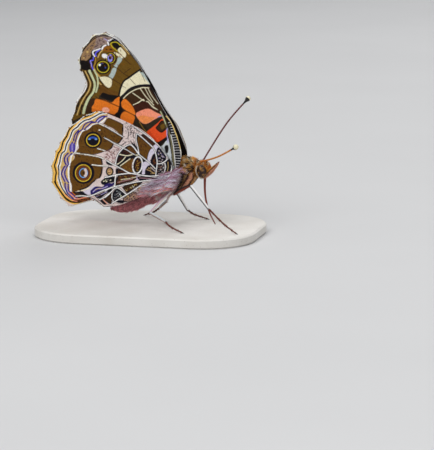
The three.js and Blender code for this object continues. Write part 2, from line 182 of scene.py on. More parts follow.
def within(points: Points, ring: Points) -> Points:
    """Whether each point in a plane is inside a closed ring."""
    inside = np.zeros(len(points), bool)
    x, y = points.T
    for (ax, ay), (bx, by) in zip(ring, np.roll(ring, -1, 0)):
        if ay != by:
            inside ^= ((ay > y) != (by > y)) & (x < (bx - ax) * (y - ay) / (by - ay) + ax)
    return inside


def unit(vectors: Points) -> Points:
    """Rows scaled to length 1."""
    return vectors / np.maximum(np.linalg.norm(vectors, axis=-1, keepdims=True), 1e-12)


def traced(text: str) -> Points:
    """The points of a shape written as "x,y x,y"."""
    return np.array([[float(value) for value in pair.split(",")] for pair in text.split()])


# The markings are drawn on the picture frame enlarged this many times
ENLARGED = 5
# How soft the edge of a marking is, in enlarged pixels
SOFT_EDGE = 1.75


@dataclass(frozen=True)
class Mark:
    """One shape of the markings, in pixels of the enlarged picture frame."""

    tint: Tint

    def gap(self, pixels: Points) -> Points:
        """How far outside the shape each point lies, less than 0 inside."""
        raise NotImplementedError

    def reach(self) -> tuple[Points, Points]:
        """The lowest and highest corner of the shape."""
        raise NotImplementedError

    def lay(self, pixels: Points, colours: Points) -> None:
        """Lays the shape over the colours of the points it covers.

        Args:
            pixels: where each point stands in the enlarged frame.
            colours: the linear colour of each point, changed in place.
        """
        low, high = self.reach()
        near = np.flatnonzero(((pixels > low - 1) & (pixels < high + 1)).all(1))
        if len(near):
            cover = np.clip(0.5 - self.gap(pixels[near]) / SOFT_EDGE, 0, 1)[:, None]
            colours[near] = colours[near] * (1 - cover) + self.tint.rgb() * cover


@dataclass(frozen=True)
class Patch(Mark):
    """An area with a smooth outline."""

    outline: str
    edge: Optional[Tint] = None
    edge_width: float = 0.0

    def ring(self) -> Points:
        """The smooth outline."""
        return closed_spline(traced(self.outline), 5)

    def reach(self) -> tuple[Points, Points]:
        """The lowest and highest corner of the outline."""
        ring = self.ring()
        return ring.min(0) - self.edge_width, ring.max(0) + self.edge_width

    def gap(self, pixels: Points) -> Points:
        """How far outside the outline each point lies."""
        ring = self.ring()
        distance = away(pixels, np.vstack([ring, ring[:1]]))
        return np.where(within(pixels, ring), -distance, distance)

    def lay(self, pixels: Points, colours: Points) -> None:
        """Lays the area and then its edge."""
        super().lay(pixels, colours)
        if self.edge:
            ring = traced(self.outline)
            closed = " ".join(f"{x},{y}" for x, y in np.vstack([ring, ring[:1]]))
            Stroke(self.edge, self.edge_width, closed).lay(pixels, colours)


@dataclass(frozen=True)
class Stroke(Mark):
    """A smooth line of one width."""

    width: float
    route: str

    def line(self) -> Points:
        """The smooth line."""
        stations = traced(self.route)
        if len(stations) < 3:
            return stations
        return spline(stations, np.linspace(0, 1, 5 * (len(stations) - 1) + 1))

    def reach(self) -> tuple[Points, Points]:
        """The lowest and highest corner of the line."""
        line = self.line()
        return line.min(0) - self.width, line.max(0) + self.width

    def gap(self, pixels: Points) -> Points:
        """How far outside the line's width each point lies."""
        return away(pixels, self.line()) - self.width / 2


@dataclass(frozen=True)
class Spot(Mark):
    """An oval, or a ring where ring gives its width."""

    centre: tuple[float, float]
    radii: tuple[float, float]
    turn: float = 0.0
    ring: float = 0.0

    def reach(self) -> tuple[Points, Points]:
        """The lowest and highest corner of the oval."""
        span = max(self.radii) + self.ring
        return np.array(self.centre) - span, np.array(self.centre) + span

    def gap(self, pixels: Points) -> Points:
        """How far outside the oval or its ring each point lies."""
        angle = math.radians(self.turn)
        x, y = (pixels - np.array(self.centre)).T
        along = (x * math.cos(angle) + y * math.sin(angle)) / self.radii[0]
        across = (y * math.cos(angle) - x * math.sin(angle)) / self.radii[1]
        gap = (np.hypot(along, across) - 1) * min(self.radii)
        return np.abs(gap) - self.ring / 2 if self.ring else gap


@dataclass(frozen=True)
class Flecks(Mark):
    """Small ovals strewn by chance over an area, most of them turned alike."""

    count: int
    radii: tuple[float, float]
    turn: float
    area: str

    def lay(self, pixels: Points, colours: Points) -> None:
        """Lays every oval.

        Args:
            pixels: where each point stands in the enlarged frame.
            colours: the linear colour of each point, changed in place.
        """
        ring = closed_spline(traced(self.area), 5)
        rng = np.random.default_rng(self.count)
        low, high = ring.min(0), ring.max(0)
        centres = low + (high - low) * rng.random((8 * self.count, 2))
        for x, y in centres[within(centres, ring)][: self.count]:
            size = rng.uniform(0.6, 1.4)
            radii = (self.radii[0] * size, self.radii[1] * size)
            Spot(self.tint, (x, y), radii, self.turn + 25 * rng.standard_normal()).lay(pixels, colours)


def spots(tint: Tint, rows: str) -> tuple[Spot, ...]:
    """Ovals of one tint.

    Args:
        tint: their tint.
        rows: each oval as "x,y,half length,half height", and its turn where it has one.

    Returns:
        The ovals.
    """
    values = [[float(value) for value in row.split(",")] for row in rows.split()]
    return tuple(Spot(tint, (x, y), (a, b), *turn) for x, y, a, b, *turn in values)


def patches(tint: Tint, *outlines: str) -> tuple[Patch, ...]:
    """Areas of one tint, one for each outline."""
    return tuple(Patch(tint, outline) for outline in outlines)


def lines(tint: Tint, *routes: str) -> tuple[Stroke, ...]:
    """Lines of one tint.

    Args:
        tint: their tint.
        routes: each line as its width and its points, "width x,y x,y".

    Returns:
        The lines.
    """
    pairs = [route.split(" ", 1) for route in routes]
    return tuple(Stroke(tint, float(width), points) for width, points in pairs)


def net(tint: Tint, edge: Tint, edge_width: float, *routes: str) -> tuple[Stroke, ...]:
    """Lines that join, with one edge round them all.

    Args:
        tint: the tint of the lines.
        edge: the tint of the edge.
        edge_width: how far the edge stands out at each side.
        routes: each line as its width and its points.

    Returns:
        The edges and then the lines.
    """
    inner = lines(tint, *routes)
    return (*(Stroke(edge, line.width + 2 * edge_width, line.route) for line in inner), *inner)


def rungs(tint: Tint, width: float, count: int, first: str, second: str) -> tuple[Stroke, ...]:
    """Even bars from one line to another, like the rungs of a ladder.

    Args:
        tint: their tint.
        width: the width of a bar.
        count: how many.
        first: the line on which the bars start.
        second: the line on which they end.

    Returns:
        The bars.
    """
    shares = np.linspace(0, 1, count)
    ends = [even(Stroke(tint, width, route).line(), shares) for route in (first, second)]
    return tuple(Stroke(tint, width, f"{ax},{ay} {bx},{by}") for (ax, ay), (bx, by) in zip(*ends))


# Lines and areas that more than one marking follows
FORE_OUTER_FIELD = "524,262 582,220.5 615.5,245 665,291 615.5,357 582,415 549,390.5 507.5,357"
HEM_INNER_LINE = (
    "527.5,562.5 509,564.5 492.5,571.5 478,580 459.5,589.5 443,597.5 426,601.5 409.5,612 395,624.5 "
    "387,635 374.5,643 362,655.5 353.5,678.5 346.5,695 337,711.5 331,726 324,754 313.5,762 306.5,774 "
    "301.5,793.5 298,815 292,834 294.5,853 294.5,872 294.5,891.5 299,908 304,925 311,941.5 320.5,956 "
    "330,970 344.5,984.5 359,996.5 380.5,1002.5"
)
HEM_OUTER_LINE = (
    "484,554 469.5,563.5 459.5,571.5 440.5,579 424,584 403.5,593.5 389,605 374.5,618.5 360,633 "
    "347.5,647.5 339,666 333,682.5 322.5,697 314.5,711.5 310,730 304,749 293,763.5 287,780 279,807.5 "
    "273,827 277.5,846 281,865 277.5,882 276.5,901 281,922.5 294.5,944 308.5,965.5 323,984.5 "
    "337.5,996.5 359,1008.5 380.5,1011 407,1007.5"
)
UPPER_EYESPOT_FIELD = (
    "494.5,618.5 451,638 416,656 396,691 390,762.5 464,772 522.5,756 539.5,751 578.5,717.5 612.5,685 "
    "548.5,649 502.5,622.5"
)
FRONT_CELL = "534,594.5 576.5,602.5 614.5,624 611,678 575,649.5 540,630.5 517.5,618.5"
LOWER_EYESPOT_FIELD = (
    "366,771.5 368.5,798 349.5,834 350,903.5 360.5,958.5 416.5,946.5 459.5,915 500,889 513,834 "
    "507,795.5 464,782.5 407,774"
)
WEB_FRONT_CELL = "694.5,694 726,717.5 752.5,739 736.5,773 726,784 707.5,770.5 697,752"
WEB_MIDDLE_CELL = "631,815.5 662.5,794.5 668,815.5 660,858 636,850 615,836.5"
WEB_ROOT_CELL = "792.5,831.5 816,821 818.5,847.5 805.5,871 792.5,871"
WEB_REAR_CELL = "596.5,887 631,876.5 678.5,873.5 678.5,889.5 636,905.5 596.5,913.5"
WEB_LOWER_CELL = "694.5,942.5 721,929.5 747.5,929.5 734,958.5 718,969 697,961"
INNER_EDGE_FIELD = "615,993.5 644,975 673,959 687,969.5 710,980 726.5,982.5 710,996 678.5,1006.5 636,1009"
THORAX_FLANK = "855,865 915,855 907.5,900 885,960 840,995 790,1000 790,930"
HEAD_FIELD = "987,791.5 1025.5,791.5 1056,809.5 1051,845 1030.5,832.5 1000,819.5 979.5,832.5"

# Markings of the forewing's under side
FOREWING_UNDER = (
    Patch(
        Tint.OLIVE,
        "474.5,282.5 516,245 549,220.5 582,204 615.5,237 648.5,270 706.5,344.5 673.5,369.5 640,390.5 "
        "615.5,411 599,452.5 594.5,481.5 549,469 495,440 487,390.5 466,357 470,320",
    ),
    Patch(
        Tint.BROWN,
        "487,411 514.5,425 546.5,448 583.5,466 602,480 569.5,484.5 533,480 501,470.5 491.5,445.5",
    ),
    *patches(
        Tint.APEX,
        "478,206.5 478,186 501,174.5 528.5,174.5 560.5,186 556,191.5 544.5,211 535,220.5 510,226 "
        "496,242 468.5,250 455,239 466.5,220.5",
        "478,206.5 498.5,183.5 528.5,182.5 556,191.5 544.5,211 535,220.5 510,226 496,242 468.5,250 "
        "455,239 466.5,220.5",
    ),
    Patch(
        Tint.DUN,
        "393,307.5 395,278 416,241 439,216 478,183.5 478,206.5 471,236.5 457,255 455,278 447,290.5 "
        "432,303 413.5,306",
    ),
    *spots(
        Tint.TAUPEDARK,
        "459.5,228.5,11,3,-20 480,232,12.5,3.5,-25 498.5,202,4.5,6.5 512.5,196.5,3,3 489.5,219,4,3 "
        "427.5,280.5,4.5,2.5 444.5,278,5,2.5 533,191.5,11,2.5,20 487,242,8,2.5,-20 519,211,6,3,30 "
        "468.5,216,4,2.5,-40 439,241,6,2,-40 505.5,220.5,7,2.5,-10",
    ),
    *spots(
        Tint.OCHREPALE,
        "437.5,259.5,6,4.5 418,289.5,4.5,3 448,248,3.5,2.5 505.5,188,4.5,2.5 478,222.5,3,2",
    ),
    Stroke(Tint.WHITISH, 7.5, "566,195 551.5,200 539.5,207 542.5,224"),
    Stroke(Tint.LILAC, 4.5, "521.5,193.5 533,200 540,207"),
    Stroke(Tint.WHITISH, 8.5, "529,227 516.5,232.5 510.5,244.5"),
    Stroke(Tint.VIOLET, 3.5, "532,230 521.5,236.5 518,244"),
    Stroke(Tint.WHITISH, 6.5, "501,243.5 482.5,250 466,256.5 465,268.5 473,282"),
    Stroke(Tint.VIOLETBLUE, 6, "499.5,250 484,259.5 476,273.5 483,280.5"),
    Stroke(Tint.BLACK, 3, "503,255 491.5,266 484,282.5"),
    Stroke(Tint.VIOLETBLUE, 6.5, "467,288 467.5,299.5 452,304.5 457.5,321.5 459.5,335 467,348"),
    Stroke(Tint.LILAC, 3.5, "452.5,303.5 456,317 457.5,335"),
    *lines(
        Tint.BLACK,
        "4.5 455,268.5 458.5,282.5 455,291.5 441,304",
        "4 473,287 470,301 465,314.5 468.5,337.5 475.5,353.5",
    ),
    Stroke(Tint.OCHREPALE, 5.5, "510.5,253 499.5,265 489.5,287"),
    Stroke(Tint.OCHRE, 5, "478,291.5 475.5,314.5 469,335 478,352.5 490.5,372 501,381"),
    Patch(
        Tint.OCHREBROWN,
        "519,237.5 535,228.5 558,232 571,244.5 566,259.5 546.5,263 528.5,256 514.5,255",
    ),
    *spots(Tint.UMBER, "554.5,248,8.5,5,10 533,248,5,3,10"),
    *spots(Tint.BLACK, "554.5,290.5,29.5,30.5"),
    Spot(Tint.YELLOWGREEN, (553.5, 290.5), (21, 24), ring=3),
    *spots(Tint.UMBER, "552.5,290.5,17,20"),
    Spot(Tint.SKYLILAC, (551, 290.5), (9, 13.5), ring=7),
    *spots(Tint.BLACK, "548.5,289.5,5,8.5 515.5,335,39.5,36.5"),
    Spot(Tint.YELLOWGREEN, (515, 335), (29.5, 27.5), turn=15, ring=4),
    *spots(Tint.BLACK, "515.5,335,24,22.5"),
    *spots(Tint.WHITE, "498.5,324.5,6,6"),
    *spots(Tint.BLUE, "527,338,3.5,3.5 510.5,318,4.5,2"),
    *spots(Tint.WHITISH, "523.5,280,15,11,25"),
    Patch(
        Tint.BLACK,
        "557,198.5 572,196.5 588,205.5 604,219 606.5,236.5 595,250 583.5,255 567.5,236.5 560.5,218",
    ),
    Stroke(
        Tint.YELLOWGREEN, 4.5,
        "599.5,225.5 586,212.5 566,211.5 553.5,219 561.5,234 574.5,246 586,255",
    ),
    Patch(Tint.BLACK, "566,219 581,217 597,229.5 595,241 584.5,248.5 572,237.5"),
    Stroke(Tint.SKYLILAC, 3, "574.5,200 586,206"),
    *patches(
        Tint.CREAM,
        "589,248 602,236.5 615.5,249 630,268.5 625.5,287.5 611,279 595,263",
        "569,261.5 586,265 604,276 619,292.5 599.5,286 583.5,276.5",
    ),
    Stroke(Tint.OCHREPALE, 4, "604,222.5 622.5,243.5 645.5,271"),
    *patches(
        Tint.BLUEGREY,
        "590.5,287 610,291.5 607.5,305.5 595,321.5 583.5,338.5 574.5,335 569.5,326.5 581,314.5 "
        "586,301",
        "563,342 581.5,338.5 579,360.5 566,388 556,394 543.5,382.5 553.5,365",
    ),
    Flecks(Tint.UMBER, 40, (4.5, 1.5), 60, FORE_OUTER_FIELD),
    Flecks(Tint.OCHREBROWN, 40, (4, 1.25), 60, FORE_OUTER_FIELD),
    Flecks(
        Tint.TAUPEDARK, 30, (3, 1), 0,
        "482.5,206.5 498.5,186 528.5,183.5 551.5,193 537.5,218 510,225 496,241 468.5,248",
    ),
    Flecks(
        Tint.UMBER, 24, (2.5, 1.1), -30,
        "409,298.5 411,278 429.5,248 450,225 473,209 468.5,239 455,259.5 445.5,289.5 432,298.5",
    ),
    *lines(
        Tint.UMBER,
        "3.25 565,329 592.5,346.5 620,369.5 648,386",
        "3.25 530.5,376.5 560.5,394 583.5,408.5 604,421.5",
        "3.25 487,414.5 514.5,428 546.5,449 572,462.5",
        "3.25 615.5,288 634,306 652.5,321.5",
        "3.25 619,367.5 636.5,353.5 652.5,342",
    ),
    Patch(
        Tint.CREAM,
        "496,388.5 517,383 538,386 556.5,397 559.5,411 556,430 545,438.5 528.5,430 512.5,411.5 "
        "502,400",
    ),
    Stroke(Tint.BLACK, 5, "489.5,376.5 501,400.5 515.5,419.5"),
    *lines(Tint.OCHREPALE, "4 489.5,408.5 505.5,423", "4 488,369.5 494,381 501,384"),
    Patch(
        Tint.BLACK,
        "403,306 417,307 437.5,305 450,319 459.5,346.5 444.5,354.5 427.5,348 413.5,340.5 405.5,323.5",
    ),
    Stroke(Tint.RUSSET, 3.5, "439,310.5 449,323.5 455,342"),
    Stroke(
        Tint.CREAM, 15,
        "395,340 393,305 396.5,270 410,237.5 434,205 458.5,180 485,167 515,164 550,169 580,184 "
        "610,211 640,245",
    ),
    Stroke(
        Tint.INK, 4.5,
        "420,352.5 407.5,325 402.5,300 406,275 420,247.5 445,217.5 475,191.5 505,180 535,181 560,186 "
        "585,202.5 610,222.5",
    ),
    Stroke(Tint.WHITISH, 5, "542,176.5 569.5,187 592.5,200 611,216 629.5,232 650,255"),
    Patch(Tint.BROWN, "495,440 528.5,444 582,456.5 599,481.5 574,485.5 532.5,469 487,477.5"),
    Patch(
        Tint.CREAM,
        "605,429.5 623.5,407 648.5,390.5 677.5,365.5 692,355 715,374 750,415 739.5,424.5 706.5,427 "
        "677.5,435 652.5,446.5 636,458.5 619.5,475.5 601,481.5",
    ),
    *lines(Tint.UMBER, "2.25 650.5,394.5 677.5,423.5", "2.25 603,425.5 628.5,440"),
    Stroke(Tint.BLUEGREY, 4, "694,353 719,382 748,417.5"),
    Stroke(Tint.UMBER, 2.5, "702.5,357 725,407"),
    Stroke(Tint.BLUEGREY, 11, "710.5,365.5 731.5,390.5 758.5,423.5"),
    Stroke(Tint.BLACK, 8.5, "702.5,347 677.5,363.5 644.5,387 619.5,405 606,432 599,456.5 594.5,477.5"),
    Patch(
        Tint.UMBER,
        "615.5,490 648.5,463 681.5,442 715,434 752,434 781,477.5 798,502.5 812.5,535.5 795.5,554 "
        "764.5,543.5 748,510.5 706.5,498 665,523 640,504.5",
    ),
    Stroke(Tint.INK, 9.5, "603,488 623.5,469 646.5,446.5 677.5,432.5 710.5,426.5 748,427.5 764.5,444"),
    *lines(
        Tint.CREAM,
        "4.5 617.5,492 636,473.5 657,458.5 681.5,446.5 715,438 744,440",
        "4.5 667,524 692,512.5 715,498 725,508.5 739.5,508.5 758.5,529 785.5,548",
        "3.75 663,465 690,483.5 723,508.5 752,533.5 789.5,552",
        "3.75 700.5,442 719,469 735.5,490 768.5,525",
        "3 723,438 742,473.5 764.5,510.5",
        "3 739.5,440 758.5,477.5 789.5,519",
    ),
    Stroke(Tint.BLACK, 8, "754,444 781,481.5 802,510.5 812.5,533.5"),
    Patch(
        Tint.CHESTNUT,
        "665,529 694,517 719,504.5 739.5,514.5 758.5,535.5 795.5,554 785.5,558.5 748,543.5 706.5,552 "
        "677.5,562.5",
    ),
    Patch(Tint.BLACK, "514,463 545,472.5 582,477.5 601,483.5 576,494 565.5,504.5 528.5,496 503.5,481.5"),
    Patch(
        Tint.ORANGE,
        "480.5,495 524,500 557.5,512.5 576,496 594.5,485 608,494 599,527 594.5,535.5 588.5,556 "
        "574,572 545,564.5 532.5,554 507.5,556 462,558.5 457,539.5 470,519",
    ),
    Stroke(Tint.UMBER, 4, "487,492 528.5,504.5 565.5,521 594.5,533.5"),
    *spots(Tint.PINK, "528.5,550,18.5,13.5,10"),
    Patch(
        Tint.BLACK,
        "599,485.5 611,496 606,523 617.5,556 636,560.5 615.5,564.5 599,589.5 615.5,602 574,575 "
        "590.5,556 595.5,531.5",
    ),
    *patches(
        Tint.ORANGE,
        "608,508.5 624.5,494 650.5,517 669,543.5 676.5,573.5 654.5,568 615.5,541.5 607,523",
        "615.5,560.5 640,561 672.5,581 669,606 657.5,622.5 632,609 602,590",
    ),
    Stroke(Tint.UMBER, 3.5, "615.5,550 648.5,564.5 675.5,579"),
    Patch(
        Tint.SALMON,
        "679.5,570.5 702.5,554 742,543.5 781,562.5 806,575 789.5,587.5 764.5,602 739.5,616.5 "
        "719,618.5 696,602",
    ),
    Patch(Tint.ORANGEPALE, "686,585 715,577 748,585 773,589.5 739.5,614 719,617.5 698.5,602"),
    Patch(
        Tint.REDORANGE,
        "733.5,660 760.5,637 789.5,614 812.5,593.5 822.5,606 806,618.5 789.5,635 793.5,651.5 810,658 "
        "827,648 837,660 831,682.5 789.5,710.5 768.5,697 748,678.5",
    ),
    Patch(
        Tint.UMBER,
        "789.5,628.5 810,604 829,620.5 833,639 810,660.5 791.5,652.5 781,638.5",
        Tint.BLACK, 5,
    ),
    *patches(
        Tint.OLIVE,
        "802,628.5 818.5,618.5 824.5,635 810,647.5",
        "410,350 455,355 485,395 495,425 495,485 475,495 455,525 455,560 395,590 350,605 370,545 "
        "400,480 430,425",
    ),
    *lines(Tint.LILAC, "4 789.5,585 810,579", "5 833,648 839,664"),
    Stroke(Tint.OCHRE, 2.5, "696,608 715,639 733.5,662"),
    Flecks(
        Tint.BLACKBROWN, 70, (8, 2.5), 75,
        "420,350 455,355 485,395 495,425 495,485 475,495 455,525 455,560 395,590 350,605 370,545 "
        "400,480 430,425",
    ),
    Patch(Tint.UMBER, "445.5,498 474.5,492 460,523 457,558.5 433,564.5 429,519"),
    *lines(
        Tint.PALEGREEN,
        "13 447.5,355 462.5,385 475,420 467.5,460 442.5,495 425,535 417.5,565",
        "8 470,350 485,380 490,420 480,460",
    ),
    *lines(
        Tint.BLACK,
        "3 455,355 469,385 481,420 474,460 449,497.5 432.5,535",
        "4.5 436,355 452,390 462,420 453.5,457.5 430.5,492.5 410,535 397.5,575",
    ),
    Stroke(Tint.OCHREPALE, 5, "426,355 442.5,390 452,420 443,455 420,490 400,530 385,575"),
    Stroke(Tint.BLACK, 4, "418,355 434,390 443,420 433,455 410,487.5 390,525 375,570"),
    Stroke(Tint.WHITISH, 5.5, "410,360 425,395 433,425 422,455 400,485 380,520 367.5,560"),
    *spots(Tint.BLACK, "426.5,329,25.5,23,20"),
    Patch(Tint.BLACK, "404,303.5 420.5,301 439,311.5 449.5,332.5 439,351 416.5,349 402,324"),
    Stroke(
        Tint.INK, 4,
        "400.5,320 400.5,291 408,262 433,224.5 470,187 503.5,174 536.5,178 565.5,191.5 594.5,214",
    ),
    Patch(
        Tint.ASHEN,
        "783.5,719.5 807.5,732 832,701.5 844,695.5 856,732 868,780 877,822.5 880,856 862,856 "
        "859,816.5 832,771 795.5,732",
    ),
    Stroke(Tint.OLIVEASH, 8, "807.5,562 822.5,604.5 838,650 847,695.5 859,762 868,816.5"),
    Stroke(Tint.PALEGREEN, 4, "801.5,556 819.5,595.5 832,629"),
    Patch(Tint.BLACK, "823.5,732 832,720.5 842.5,725.5 844,744 839.5,762 830,759 823.5,747"),
    Stroke(Tint.BLACK, 5, "844,677 850,719.5 859,762"),
    Patch(Tint.BLACK, "786.5,719.5 804.5,701.5 832,688 835,701.5 813.5,715 801.5,728.5"),
    Stroke(
        Tint.BLACK, 12,
        "815,559 835,595.5 847,622.5 859,671 866.5,719.5 872.5,774 875.5,822.5 877,850",
    ),
    Stroke(Tint.OLIVEASH, 9.5, "829.5,625 849,678 859,731 866.5,784 869,826"),
    *lines(Tint.INK, "3.5 838.5,633 841,678 850.5,704.5 856,757.5 861,810", "3 824,625 834.5,641"),
    Patch(Tint.ASHEN, "822.5,723.5 840.5,713.5 851,744 856.5,784 844,794.5 829.5,773 816,752 805.5,733"),
    Patch(Tint.BLACK, "824,731 838,725 843,739 840.5,760.5 832,766.5 824,750"),
    Stroke(Tint.LILAC, 4.5, "837,641 834,664.5 838,694 839.5,712.5"),
    Patch(
        Tint.INK,
        "861,609 872,619.5 881,654 893,683 900.5,712.5 908.5,744 912,776 912,810 909,836.5 "
        "900.5,852.5 887.5,858 878,844.5 875.5,810 874.5,773 871,744 866.5,712.5 860.5,683 852,657 "
        "841,625",
    ),
    Stroke(Tint.OXBLOOD, 4, "872.5,648.5 889,679.5 900.5,705 909.5,733 914.5,763.5 916,794"),
    *rungs(
        Tint.WHITISH, 1.75, 19,
        "842.5,613 852,641 860,674 867,702 871.5,733 874,763.5 876.5,789 878,814.5 880,841.5",
        "851,611.5 865,641 875.5,669 885,699.5 893,728 900,753.5 901.5,779 902,807 900,827 896,845",
    ),
    Stroke(
        Tint.WHITISH, 3.25,
        "854.5,674 861.5,702 867.5,733 871,766 873.5,791.5 875.5,814.5 877,840 880.5,854 890,858.5 "
        "899,855.5",
    ),
    Stroke(
        Tint.CREAMYELLOW, 5,
        "831.5,580 839.5,590 852,605.5 865,632 877.5,664 889,694.5 896,720 903,748 906,773.5",
    ),
    Stroke(Tint.WHITE, 5, "902.5,745.5 906,773.5 906.5,807 904.5,832.5 899,856.5"),
)

